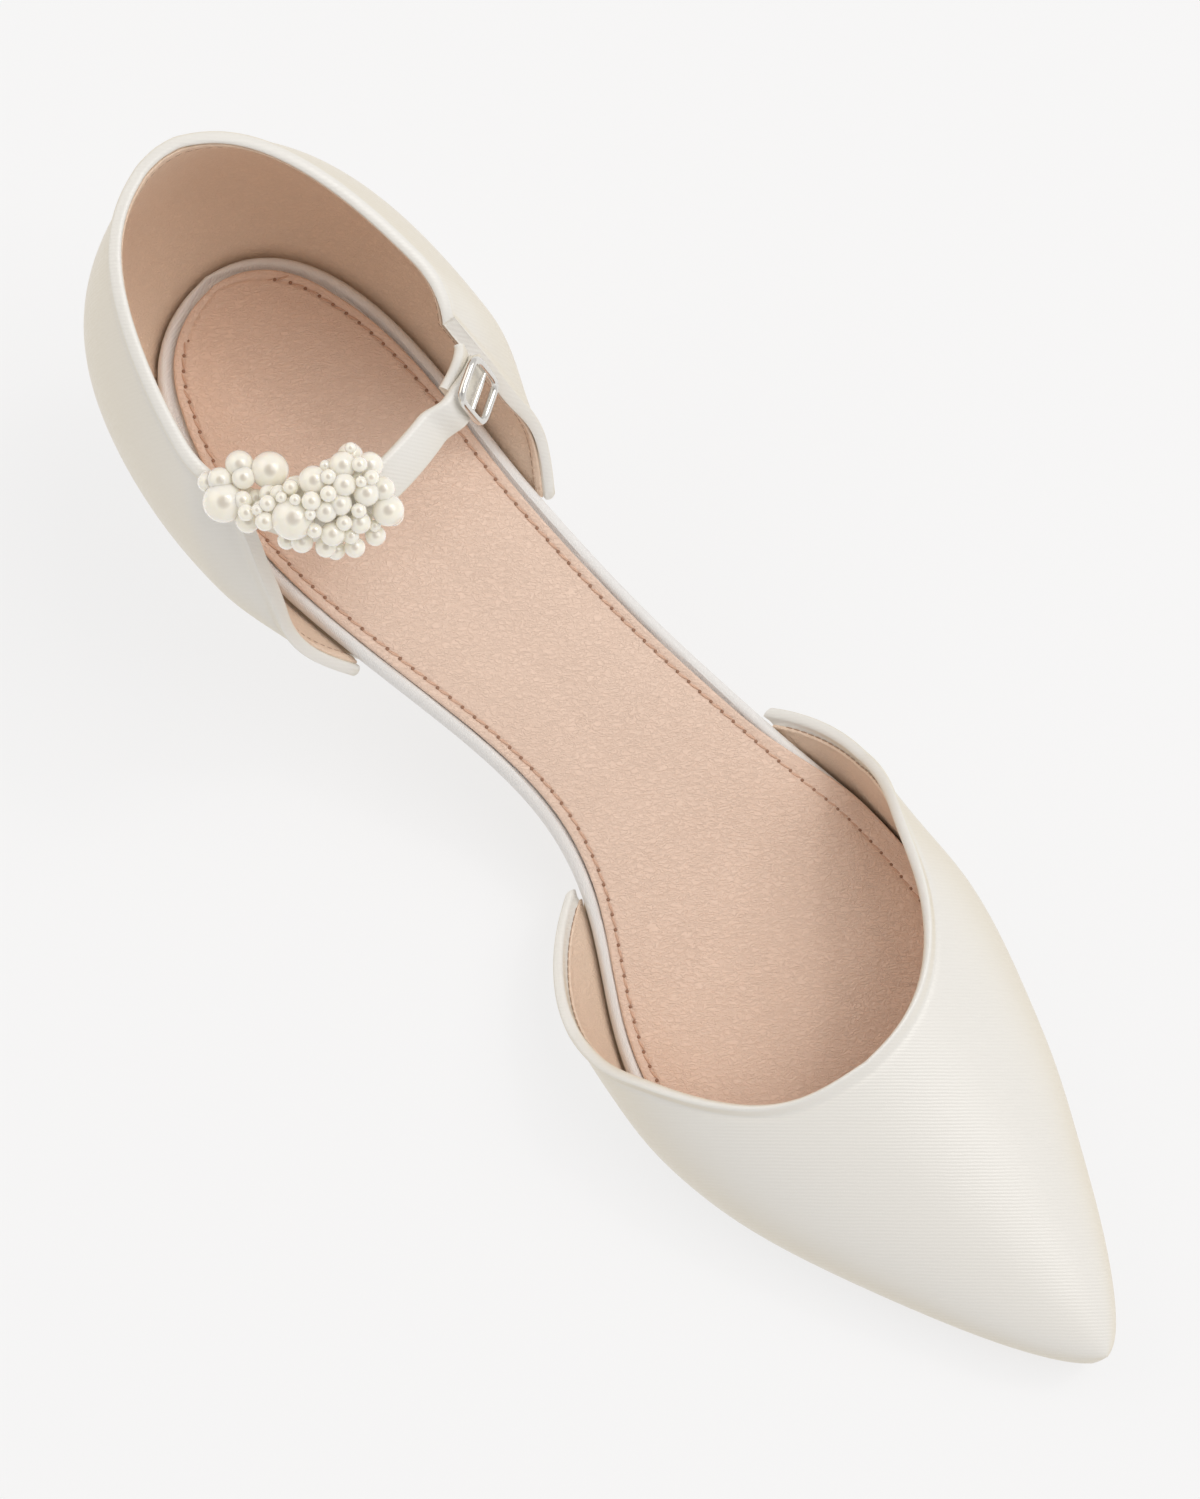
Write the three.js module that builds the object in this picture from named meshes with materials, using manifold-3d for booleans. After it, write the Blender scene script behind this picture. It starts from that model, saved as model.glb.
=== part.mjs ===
// A left shoe: two-piece satin court shoe with a pointed toe, a low kitten heel
// and an ankle strap sewn with pearls. Millimetres, +Z up.
// The sections below are measured from the back of the heel seat forward (x),
// with y towards the little toe and z up from the floor that the shoe stands on.

import * as THREE from 'three';
import { mergeVertices } from 'three/addons/utils/BufferGeometryUtils.js';
import Module from 'manifold-3d';

// Driving sizes
const LENGTH = 253;
const BALL_WIDTH = 78;
const HEEL_HEIGHT = 50.5;
const RIDGE_HEIGHT = 70;
const INSOLE_LENGTH = 250;
const GAP = 0.3;

// Thicknesses
const OUTSOLE_THICKNESS = 2.2;
const INSOLE_THICKNESS = 2.4;
const SOCK_THICKNESS = 1.2;
const UPPER_WALL = 1.9;
const TOP_PIECE_HEIGHT = 5.6;

// Edges
const OUTSOLE_EDGE_CLOSED = 1.3;
const OUTSOLE_EDGE_OPEN = -0.7;
const SOCK_INSET = 2.8;
const FEATHER_EDGE = GAP + UPPER_WALL;
const EDGE_CHANGE = 14;

// Underside of the outsole above the floor, as a share of HEEL_HEIGHT
const SOLE_LINE = [
  { x: -2, rise: 1.0 },
  { x: 30, rise: 0.905 },
  { x: 60, rise: 0.785 },
  { x: 90, rise: 0.54 },
  { x: 120, rise: 0.235 },
  { x: 140, rise: 0.076 },
  { x: 152, rise: 0.017 },
  { x: 163, rise: 0 },
  { x: 190, rise: 0 },
  { x: 205, rise: 0.006 },
  { x: 235, rise: 0.044 },
  { x: 253, rise: 0.084 },
];

// Edge of the insole, as a share of half the BALL_WIDTH, each side of the axis
const INSOLE_OUTLINE = [
  { x: 0, medial: 0, lateral: 0 },
  { x: 8, medial: 0.462, lateral: 0.385 },
  { x: 25, medial: 0.654, lateral: 0.546 },
  { x: 45, medial: 0.7, lateral: 0.572 },
  { x: 63, medial: 0.64, lateral: 0.56 },
  { x: 80, medial: 0.532, lateral: 0.59 },
  { x: 98, medial: 0.418, lateral: 0.652 },
  { x: 114, medial: 0.382, lateral: 0.737 },
  { x: 130, medial: 0.487, lateral: 0.828 },
  { x: 146, medial: 0.705, lateral: 0.918 },
  { x: 160, medial: 0.849, lateral: 0.938 },
  { x: 172, medial: 0.887, lateral: 0.918 },
  { x: 184, medial: 0.862, lateral: 0.864 },
  { x: 196, medial: 0.774, lateral: 0.767 },
  { x: 208, medial: 0.651, lateral: 0.654 },
  { x: 220, medial: 0.505, lateral: 0.51 },
  { x: 232, medial: 0.344, lateral: 0.349 },
  { x: 243, medial: 0.172, lateral: 0.177 },
  { x: 250, medial: 0, lateral: 0 },
];

// Upper over the forepart: widest half-widths as shares of half the BALL_WIDTH,
// height of that widest line over the feather edge, and the ridge as a share of
// RIDGE_HEIGHT above the floor
const FOREPART = [
  { x: 112, medial: 0.72, lateral: 1.03, swell: 17, ridge: 1.03, ridgeY: -5 },
  { x: 124, medial: 0.785, lateral: 1.03, swell: 16, ridge: 0.94, ridgeY: -5 },
  { x: 136, medial: 0.862, lateral: 1.015, swell: 15, ridge: 0.855, ridgeY: -4.5 },
  { x: 147, medial: 0.932, lateral: 1.002, swell: 14, ridge: 0.778, ridgeY: -4 },
  { x: 158, medial: 0.969, lateral: 1, swell: 13, ridge: 0.71, ridgeY: -3.4 },
  { x: 170, medial: 0.987, lateral: 1.0, swell: 11.8, ridge: 0.643, ridgeY: -2.6 },
  { x: 182, medial: 0.951, lateral: 0.951, swell: 10.6, ridge: 0.577, ridgeY: -1.8 },
  { x: 194, medial: 0.872, lateral: 0.862, swell: 9.6, ridge: 0.508, ridgeY: -1.2 },
  { x: 207, medial: 0.741, lateral: 0.744, swell: 8.6, ridge: 0.44, ridgeY: -0.7 },
  { x: 220, medial: 0.587, lateral: 0.59, swell: 7.8, ridge: 0.378, ridgeY: -0.4 },
  { x: 232, medial: 0.431, lateral: 0.436, swell: 6.6, ridge: 0.322, ridgeY: -0.2 },
  { x: 242, medial: 0.282, lateral: 0.287, swell: 5.6, ridge: 0.276, ridgeY: 0 },
  { x: 248.5, medial: 0.162, lateral: 0.167, swell: 4.6, ridge: 0.24, ridgeY: 0 },
  { x: 253, medial: 0, lateral: 0, swell: 3.6, ridge: 0.19, ridgeY: 0 },
];
const SWELL_SHARE = 0.28;
const TIP_BLEND = 8;

// Top line of the vamp: where it crosses each line round the section, from the
// feather edge (0) to the ridge (1)
const VAMP_TOPLINE = [
  { round: 0, medial: 124, lateral: 121.5 },
  { round: 0.07, medial: 129, lateral: 127.5 },
  { round: 0.16, medial: 136.3, lateral: 134 },
  { round: 0.28, medial: 145.8, lateral: 141 },
  { round: 0.4, medial: 155, lateral: 148.5 },
  { round: 0.52, medial: 162.5, lateral: 157 },
  { round: 0.62, medial: 170.5, lateral: 168 },
  { round: 0.72, medial: 178.5, lateral: 177.5 },
  { round: 0.82, medial: 183.5, lateral: 183.2 },
  { round: 0.92, medial: 185.6, lateral: 185.8 },
  { round: 1, medial: 186.4, lateral: 186.4 },
];

// Quarter round the heel: how far the wall stands out from its feather edge at
// the back, at the side and along its front edge, by share of QUARTER_HEIGHT
const QUARTER_HEIGHT = 56;
const QUARTER_SWELL = [
  { up: 0, back: 0, side: 0, front: 0 },
  { up: 0.14, back: 2, side: 4.6, front: 3.8 },
  { up: 0.34, back: 4, side: 7.2, front: 2.4 },
  { up: 0.56, back: 3.2, side: 6, front: 0 },
  { up: 0.78, back: 0.4, side: 1.6, front: -2.6 },
  { up: 1, back: -2.6, side: -5, front: -4.4 },
];
// Reach of the quarter forward along the feather edge, by share of its height
const QUARTER_FRONT = [
  { up: 0, medial: 72, lateral: 70 },
  { up: 0.1, medial: 68.2, lateral: 66.4 },
  { up: 0.2, medial: 64.6, lateral: 63.2 },
  { up: 0.4, medial: 60.6, lateral: 59.6 },
  { up: 0.6, medial: 57.3, lateral: 56.8 },
  { up: 0.8, medial: 54, lateral: 54 },
  { up: 0.9, medial: 51.6, lateral: 51.6 },
  { up: 1, medial: 49.6, lateral: 49.6 },
];
// Length along the shoe over which the quarter draws in to its front edge
const FRONT_TUCK = 10;
// Height of the quarter from its back (0) round to its front edge (1)
const QUARTER_TOP = [
  { round: 0, height: 1.0 },
  { round: 0.35, height: 0.975 },
  { round: 0.7, height: 0.885 },
  { round: 1, height: 0.82 },
];

// Covered heel block: back, front and half-width by share of the way up
const HEEL_CENTRE_Y = -2;
const HEEL_SECTIONS = [
  { up: 0, back: 14, front: 27, half: 6.2, seat: 0 },
  { up: 0.25, back: 11.8, front: 27.4, half: 6.6, seat: 0 },
  { up: 0.5, back: 8.2, front: 31, half: 8.6, seat: 0.06 },
  { up: 0.72, back: 3.9, front: 38.5, half: 13.4, seat: 0.3 },
  { up: 0.88, back: 0.9, front: 47.5, half: 19.4, seat: 0.72 },
  { up: 1, back: -0.6, front: 57, half: 24.4, seat: 1 },
];

// Ankle strap: a band that carries on from the front corners of the quarter,
// its middle line an arc given by angle from straight ahead, tilted at the front
const STRAP_WIDTH = 8;
const STRAP_THICKNESS = 1.8;
const STRAP_ARC = { x: 46.8, y: -2.4, forward: 18.6, half: 24.1, lean: -7 };
const STRAP_BASE = { angle: 68, z: 85.6, tilt: 6 };
const STRAP_FRONT = { z: 92, tilt: 34 };
const TAIL = { rise: 32, over: 41, end: 66 };
const TAB = { start: 45, end: 69 };

// Pearls sewn over the inner side and front of the strap, as one solid band whose
// middle is raised on the strap and spills outward past the quarter's corner
const PEARLS = { from: -70, to: 10, outward: 1, spill: 3, raised: 2.4, deep: 5.2, tall: 8.6 };

// Buckle frame lying on the strap at the outer side
const BUCKLE = { angle: 50, long: 9.5, tall: 12, bar: 1.6, thick: 1.4, corner: 2.2 };
const BUCKLE_REST = 0.3;
const PRONG = { radius: 0.65, sides: 10 };

// Grid densities
const SOLE_ROWS = 52;
const SOLE_COLUMNS = 2;
const ROWS = 32;
const ROUND = 32;

const wasm = await Module();
wasm.setup();

function lerp(a, b, t) {
  return a + (b - a) * t;
}

function clamp(v, low, high) {
  return Math.min(high, Math.max(low, v));
}

function smoothstep(a, b, v) {
  const t = clamp((v - a) / (b - a), 0, 1);
  return t * t * (3 - 2 * t);
}

// Natural cubic curve through one column of a table, against any spacing
function curveThrough(table, key, column, spacing = (v) => v) {
  const rows = table.map((row) => ({ s: spacing(row[key]), v: row[column] }));
  rows.sort((a, b) => a.s - b.s);
  const n = rows.length;
  const bend = new Array(n).fill(0);
  const work = new Array(n).fill(0);
  for (let i = 1; i < n - 1; i += 1) {
    const before = rows[i].s - rows[i - 1].s;
    const after = rows[i + 1].s - rows[i].s;
    const part = before / (before + after);
    const pivot = part * bend[i - 1] + 2;
    const turn = (rows[i + 1].v - rows[i].v) / after - (rows[i].v - rows[i - 1].v) / before;
    bend[i] = (part - 1) / pivot;
    work[i] = ((6 * turn) / (before + after) - part * work[i - 1]) / pivot;
  }
  bend[n - 1] = 0;
  for (let i = n - 2; i >= 0; i -= 1) {
    bend[i] = bend[i] * bend[i + 1] + work[i];
  }
  return (at) => {
    const s = clamp(spacing(at), rows[0].s, rows[n - 1].s);
    let i = 0;
    while (i < n - 2 && s > rows[i + 1].s) i += 1;
    const span = rows[i + 1].s - rows[i].s;
    const a = (rows[i + 1].s - s) / span;
    const b = 1 - a;
    const cubic = ((a ** 3 - a) * bend[i] + (b ** 3 - b) * bend[i + 1]) * span * span / 6;
    return a * rows[i].v + b * rows[i + 1].v + cubic;
  };
}

// Curve through one column that never passes its rows, so flats stay flat
function steadyCurve(table, key, column) {
  const xs = table.map((row) => row[key]);
  const vs = table.map((row) => row[column]);
  const n = xs.length;
  const slope = xs.slice(1).map((x, i) => (vs[i + 1] - vs[i]) / (x - xs[i]));
  const tangent = xs.map((_, i) => {
    if (i === 0) return slope[0];
    if (i === n - 1) return slope[n - 2];
    if (slope[i - 1] * slope[i] <= 0) return 0;
    return (2 * slope[i - 1] * slope[i]) / (slope[i - 1] + slope[i]);
  });
  return (at) => {
    const x = clamp(at, xs[0], xs[n - 1]);
    let i = 0;
    while (i < n - 2 && x > xs[i + 1]) i += 1;
    const span = xs[i + 1] - xs[i];
    const t = (x - xs[i]) / span;
    const a = (1 + 2 * t) * (1 - t) ** 2 * vs[i];
    const b = t * (1 - t) ** 2 * span * tangent[i];
    const c = t * t * (3 - 2 * t) * vs[i + 1];
    const d = t * t * (t - 1) * span * tangent[i + 1];
    return a + b + c + d;
  };
}

// Rows close together near both ends, which rounds an outline there
const roundEnds = (x) => Math.acos(clamp(1 - (2 * x) / INSOLE_LENGTH, -1, 1));
const roundTip = (x) => Math.sqrt(Math.max(0, LENGTH - x));

const soleRise = steadyCurve(SOLE_LINE, 'x', 'rise');
const soleBottom = (x) => HEEL_HEIGHT * soleRise(x);
const soleTop = (x) => soleBottom(x) + OUTSOLE_THICKNESS;
const featherZ = (x) => soleTop(x) + GAP;
const sockBottom = (x) => featherZ(x) + INSOLE_THICKNESS + GAP;

const insoleCurve = {
  medial: curveThrough(INSOLE_OUTLINE, 'x', 'medial', roundEnds),
  lateral: curveThrough(INSOLE_OUTLINE, 'x', 'lateral', roundEnds),
};
const insoleHalf = (side, x) => Math.max(0, insoleCurve[side](x)) * BALL_WIDTH / 2;

const forepart = {};
for (const column of ['medial', 'lateral', 'swell', 'ridge', 'ridgeY']) {
  forepart[column] = curveThrough(FOREPART, 'x', column, roundTip);
}
const vampEdge = {
  medial: curveThrough(VAMP_TOPLINE, 'round', 'medial'),
  lateral: curveThrough(VAMP_TOPLINE, 'round', 'lateral'),
};

// Closed body from points and faces: shared points merged, flat faces dropped
function closedGeometry(points, faces) {
  const raw = new THREE.BufferGeometry();
  raw.setAttribute('position', new THREE.Float32BufferAttribute(points.flat(), 3));
  raw.setIndex(faces.flat());
  const merged = mergeVertices(raw, 1e-3);
  const index = Array.from(merged.index.array);
  const kept = [];
  for (let i = 0; i < index.length; i += 3) {
    const [a, b, c] = [index[i], index[i + 1], index[i + 2]];
    if (a !== b && b !== c && c !== a) kept.push(a, b, c);
  }
  merged.setIndex(kept);
  if (signedVolume(merged) < 0) {
    for (let i = 0; i < kept.length; i += 3) {
      [kept[i], kept[i + 1]] = [kept[i + 1], kept[i]];
    }
    merged.setIndex(kept);
  }
  return merged;
}

function signedVolume(geometry) {
  const p = geometry.attributes.position;
  const index = geometry.index.array;
  const [a, b, c] = [new THREE.Vector3(), new THREE.Vector3(), new THREE.Vector3()];
  let sum = 0;
  for (let i = 0; i < index.length; i += 3) {
    a.fromBufferAttribute(p, index[i]);
    b.fromBufferAttribute(p, index[i + 1]);
    c.fromBufferAttribute(p, index[i + 2]);
    sum += a.dot(b.cross(c));
  }
  return sum / 6;
}

// Solid between two grids of points of the same size, joined round their rims.
// A folded end is one whose last row doubles back on itself, so it has no rim.
function solidBetween(outer, inner, foldedEnd = false) {
  const rows = outer.length;
  const columns = outer[0].length;
  const points = [...outer.flat(), ...inner.flat()];
  const at = (layer, i, j) => layer * rows * columns + i * columns + j;
  const faces = [];
  const quad = (a, b, c, d) => faces.push([a, b, c], [a, c, d]);
  for (let i = 0; i < rows - 1; i += 1) {
    for (let j = 0; j < columns - 1; j += 1) {
      quad(at(0, i, j), at(0, i + 1, j), at(0, i + 1, j + 1), at(0, i, j + 1));
      quad(at(1, i, j), at(1, i, j + 1), at(1, i + 1, j + 1), at(1, i + 1, j));
    }
  }
  for (let i = 0; i < rows - 1; i += 1) {
    const last = columns - 1;
    quad(at(0, i, 0), at(1, i, 0), at(1, i + 1, 0), at(0, i + 1, 0));
    quad(at(0, i, last), at(0, i + 1, last), at(1, i + 1, last), at(1, i, last));
  }
  for (let j = 0; j < columns - 1; j += 1) {
    const last = rows - 1;
    quad(at(0, 0, j), at(0, 0, j + 1), at(1, 0, j + 1), at(1, 0, j));
    if (!foldedEnd) {
      quad(at(0, last, j), at(1, last, j), at(1, last, j + 1), at(0, last, j + 1));
    }
  }
  return closedGeometry(points, faces);
}

// Solid skinned over a stack of closed loops, with a cap on the first and last
function solidThrough(loops) {
  const count = loops[0].length;
  const points = loops.flat();
  const faces = [];
  for (let i = 0; i < loops.length - 1; i += 1) {
    for (let j = 0; j < count; j += 1) {
      const next = (j + 1) % count;
      const [a, b] = [i * count + j, i * count + next];
      faces.push([a, b, b + count], [a, b + count, a + count]);
    }
  }
  for (const level of [0, loops.length - 1]) {
    const middle = new THREE.Vector3();
    loops[level].forEach((p) => middle.add(new THREE.Vector3(...p)));
    points.push(middle.divideScalar(count).toArray());
    const hub = points.length - 1;
    for (let j = 0; j < count; j += 1) {
      const [a, b] = [level * count + j, level * count + ((j + 1) % count)];
      faces.push(level === 0 ? [hub, b, a] : [hub, a, b]);
    }
  }
  return closedGeometry(points, faces);
}

// Flat-laid piece that follows the sole line: edge(side, x) gives its outline
function solePiece(first, last, edge, bottom, top) {
  const layer = (height) => {
    const grid = [];
    for (let i = 0; i <= SOLE_ROWS; i += 1) {
      const x = lerp(first, last, (1 - Math.cos((Math.PI * i) / SOLE_ROWS)) / 2);
      const row = [];
      for (let j = 0; j <= SOLE_COLUMNS; j += 1) {
        const y = lerp(-edge('medial', x), edge('lateral', x), j / SOLE_COLUMNS);
        row.push([x, y, height(x)]);
      }
      grid.push(row);
    }
    return grid;
  };
  return solidBetween(layer(top), layer(bottom));
}

// Outline moved out by a distance, kept round at both ends by stretching it
function grownOutline(side, x, by) {
  const stretch = (INSOLE_LENGTH + 2 * by) / INSOLE_LENGTH;
  const base = insoleHalf(side, (x + by) / stretch);
  const room = Math.min(x + by, INSOLE_LENGTH + by - x);
  return base + by * Math.sqrt(clamp(room / (Math.abs(by) * 4 + 4), 0, 1));
}

// The outsole stands out under the closed parts and is tucked in at the waist
function outsoleEdge(side, x) {
  const horn = vampEdge[side](0);
  const heel = QUARTER_FRONT[0][side];
  const closed = Math.max(
    smoothstep(horn - EDGE_CHANGE, horn, x),
    1 - smoothstep(heel, heel + EDGE_CHANGE, x),
  );
  const open = grownOutline(side, x, OUTSOLE_EDGE_OPEN);
  return lerp(open, grownOutline(side, x, OUTSOLE_EDGE_CLOSED), closed);
}

// Point on the forepart: round runs from the feather edge (0) to the ridge (1),
// and inward is how far the face lies inside the outer one
function forepartPoint(side, x, round, inward) {
  const sign = side === 'medial' ? -1 : 1;
  const nose = clamp((x - (LENGTH - inward - TIP_BLEND)) / TIP_BLEND, 0, 1) ** 2;
  const stretched = x + inward * nose;
  const wide = Math.max(0, forepart[side](stretched) * BALL_WIDTH / 2 - inward * (1 - nose));
  const foot = Math.min(insoleHalf(side, Math.min(x, INSOLE_LENGTH)) + FEATHER_EDGE - inward, wide);
  const taper = clamp((LENGTH - stretched) / 6, 0, 1);
  const feather = lerp(wide, foot, Math.sqrt(taper));
  const low = featherZ(x);
  const swell = forepart.swell(stretched);
  const ridge = forepart.ridge(stretched) * RIDGE_HEIGHT - inward;
  const ridgeY = forepart.ridgeY(stretched);
  if (round < SWELL_SHARE) {
    const t = round / SWELL_SHARE;
    return [x, sign * (wide - (wide - feather) * (1 - t) ** 2), low + swell * t];
  }
  const turn = ((round - SWELL_SHARE) / (1 - SWELL_SHARE)) * Math.PI / 2;
  const y = lerp(ridgeY, sign * wide, Math.cos(turn));
  return [x, y, lerp(low + swell, ridge, Math.sin(turn))];
}

function vampFace(inward) {
  const grid = [];
  for (let i = 0; i <= ROWS; i += 1) {
    const row = [];
    for (let j = 0; j <= ROUND; j += 1) {
      const across = (2 * j) / ROUND - 1;
      const side = across < 0 ? 'medial' : 'lateral';
      const round = 1 - Math.abs(across);
      const tip = LENGTH - inward;
      const reach = Math.sqrt(tip - vampEdge[side](round)) * (1 - i / ROWS);
      row.push(forepartPoint(side, tip - reach * reach, round, inward));
    }
    grid.push(row);
  }
  return grid;
}

const quarterSwell = {
  side: curveThrough(QUARTER_SWELL, 'up', 'side'),
  back: curveThrough(QUARTER_SWELL, 'up', 'back'),
  front: curveThrough(QUARTER_SWELL, 'up', 'front'),
};
const quarterFront = {
  medial: curveThrough(QUARTER_FRONT, 'up', 'medial'),
  lateral: curveThrough(QUARTER_FRONT, 'up', 'lateral'),
};
const quarterTop = curveThrough(QUARTER_TOP, 'round', 'height');

// Point on the quarter: round from the back (0) to its front edge (1) on a side,
// up from the feather edge (0) to the top line (1)
function quarterPoint(side, round, up, inward) {
  const sign = side === 'medial' ? -1 : 1;
  const height = up * quarterTop(round);
  const front = quarterFront[side](up);
  const x = front * (1 - Math.cos(Math.PI * round)) / 2;
  const ahead = insoleHalf(side, x + 0.5);
  const behind = insoleHalf(side, Math.max(0, x - 0.5));
  const normal = new THREE.Vector2(behind - ahead, Math.min(x + 0.5, 1)).normalize();
  if (round === 0) normal.set(-1, 0);
  const body = lerp(
    quarterSwell.back(height), quarterSwell.side(height), Math.abs(normal.y) ** 0.8,
  );
  const tuck = clamp((x - front + FRONT_TUCK) / FRONT_TUCK, 0, 1) ** 2;
  const out = FEATHER_EDGE + lerp(body, quarterSwell.front(height), tuck) - inward;
  const z = featherZ(x) + height * QUARTER_HEIGHT;
  return [x + normal.x * out, sign * (insoleHalf(side, x) + normal.y * out), z];
}

function quarterFace(inward) {
  const grid = [];
  for (let i = 0; i <= ROWS; i += 1) {
    const across = (2 * i) / ROWS - 1;
    const side = across < 0 ? 'medial' : 'lateral';
    const row = [];
    for (let j = 0; j <= ROUND / 2; j += 1) {
      row.push(quarterPoint(side, Math.abs(across), j / (ROUND / 2), inward));
    }
    grid.push(row);
  }
  return grid;
}

const heelCurve = {};
for (const column of ['back', 'front', 'half', 'seat']) {
  heelCurve[column] = curveThrough(HEEL_SECTIONS, 'up', column);
}

// Loop of the heel block at a share of the way up: round back, near-flat front
function heelLoop(up, bottomZ) {
  const back = heelCurve.back(up);
  const front = heelCurve.front(up);
  const seat = clamp(heelCurve.seat(up), 0, 1);
  const loop = [];
  for (let j = 0; j < ROUND; j += 1) {
    const turn = (2 * Math.PI * j) / ROUND;
    const side = Math.sin(turn) < 0 ? 'medial' : 'lateral';
    const along = (1 - Math.cos(turn)) / 2;
    const x = lerp(back, front, along ** 1.25);
    const plain = heelCurve.half(up) * Math.abs(Math.sin(turn)) ** lerp(1, 0.45, along);
    const full = outsoleEdge(side, Math.min(x, front)) * Math.abs(Math.sin(turn)) ** (0.3 * along);
    const half = lerp(plain, full, seat);
    const centre = lerp(HEEL_CENTRE_Y, 0, seat);
    const z = lerp(bottomZ, soleBottom(x) - GAP, up);
    loop.push([x, centre + Math.sign(Math.sin(turn)) * half, z]);
  }
  return loop;
}

function heelBlock() {
  const loops = [];
  for (let i = 0; i <= 12; i += 1) {
    loops.push(heelLoop(i / 12, TOP_PIECE_HEIGHT + GAP));
  }
  return solidThrough(loops);
}

function topPiece() {
  const loop = heelLoop(0, 0);
  return solidThrough([0, TOP_PIECE_HEIGHT].map((z) => loop.map(([x, y]) => [x, y, z])));
}

// How far an angle is from the strap's base (0) towards straight ahead (1)
function strapLift(angle) {
  const base = Math.cos(THREE.MathUtils.degToRad(STRAP_BASE.angle));
  return clamp((Math.cos(THREE.MathUtils.degToRad(angle)) - base) / (1 - base), 0, 1);
}

// Middle of the strap at an angle, its front leaning to the inner side
function strapPlace(angle) {
  const a = THREE.MathUtils.degToRad(angle);
  return new THREE.Vector3(
    STRAP_ARC.x + STRAP_ARC.forward * Math.cos(a),
    STRAP_ARC.y + STRAP_ARC.half * Math.sin(a) + STRAP_ARC.lean * strapLift(angle) ** 2,
    lerp(STRAP_BASE.z, STRAP_FRONT.z, strapLift(angle)),
  );
}

// Directions at an angle round the strap: outward, upward and ahead, the band
// tilting back towards the heel as it nears the front
function strapFrame(angle) {
  const place = strapPlace(angle);
  const along = strapPlace(angle + 0.5).sub(strapPlace(angle - 0.5));
  const flatOut = new THREE.Vector3(along.y, -along.x, 0).normalize();
  const tilt = THREE.MathUtils.degToRad(
    lerp(STRAP_BASE.tilt, STRAP_FRONT.tilt, strapLift(angle)),
  );
  const up = new THREE.Vector3(0, 0, Math.cos(tilt)).addScaledVector(flatOut, -Math.sin(tilt));
  const out = flatOut.clone().multiplyScalar(Math.cos(tilt));
  out.z = Math.sin(tilt);
  return { place, out, up, ahead: new THREE.Vector3().crossVectors(up, out) };
}

// Band swept along part of the strap: section gives [outward, upward] corners
function strapBand(from, to, steps, section) {
  const loops = [];
  for (let i = 0; i <= steps; i += 1) {
    const angle = lerp(from, to, i / steps);
    const { place, out, up } = strapFrame(angle);
    loops.push(section(angle).map(([o, u]) => place.clone()
      .addScaledVector(out, o).addScaledVector(up, u).toArray()));
  }
  return solidThrough(loops);
}

function bandSection(offset, grow = 0) {
  const t = STRAP_THICKNESS / 2 + grow;
  const w = STRAP_WIDTH / 2 + grow;
  return [[offset - t, -w], [offset + t, -w], [offset + t, w], [offset - t, w]];
}

// The strap's tail rises over the tab and lies outside the quarter
function strapSection(angle, grow = 0) {
  const over = STRAP_THICKNESS + GAP;
  return bandSection(over * smoothstep(TAIL.rise, TAIL.over, angle), grow);
}

function toManifold(geometry) {
  const mesh = new wasm.Mesh({
    numProp: 3,
    vertProperties: new Float32Array(geometry.attributes.position.array),
    triVerts: new Uint32Array(geometry.index.array),
  });
  return new wasm.Manifold(mesh);
}

function fromManifold(solid) {
  const mesh = solid.getMesh();
  const geometry = new THREE.BufferGeometry();
  geometry.setAttribute('position', new THREE.BufferAttribute(mesh.vertProperties, 3));
  geometry.setIndex(new THREE.BufferAttribute(mesh.triVerts, 1));
  return geometry;
}

function bareGeometry(geometry) {
  geometry.deleteAttribute('normal');
  geometry.deleteAttribute('uv');
  return mergeVertices(geometry, 1e-3);
}

// Pearl band with a tunnel for the strap
function pearlBand() {
  const middle = (PEARLS.from + PEARLS.to) / 2;
  const spread = (PEARLS.to - PEARLS.from) / 2;
  const section = (angle) => {
    const end = Math.abs(angle - middle) / spread;
    const size = Math.sqrt(1 - 0.65 * end ** 6);
    const outward = PEARLS.outward + PEARLS.spill * (1 - strapLift(angle)) ** 2;
    return Array.from({ length: 16 }, (_, j) => {
      const a = (2 * Math.PI * j) / 16;
      return [
        outward + PEARLS.deep * size * Math.cos(a),
        PEARLS.raised + PEARLS.tall * size * Math.sin(a),
      ];
    });
  };
  const band = toManifold(strapBand(PEARLS.from, PEARLS.to, 24, section));
  const tunnel = strapBand(PEARLS.from - 2, PEARLS.to + 2, 24, (a) => strapSection(a, GAP));
  return fromManifold(band.subtract(toManifold(tunnel)));
}

// Rounded rectangle, for the buckle frame and its window
function roundedOutline(target, long, tall, corner) {
  const [x, y] = [long / 2, tall / 2];
  const bend = Math.min(corner, x, y);
  target.moveTo(-x + bend, -y);
  target.lineTo(x - bend, -y);
  target.absarc(x - bend, -y + bend, bend, -Math.PI / 2, 0);
  target.lineTo(x, y - bend);
  target.absarc(x - bend, y - bend, bend, 0, Math.PI / 2);
  target.lineTo(-x + bend, y);
  target.absarc(-x + bend, y - bend, bend, Math.PI / 2, Math.PI);
  target.lineTo(-x, -y + bend);
  target.absarc(-x + bend, -y + bend, bend, Math.PI, 1.5 * Math.PI);
  return target;
}

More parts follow.
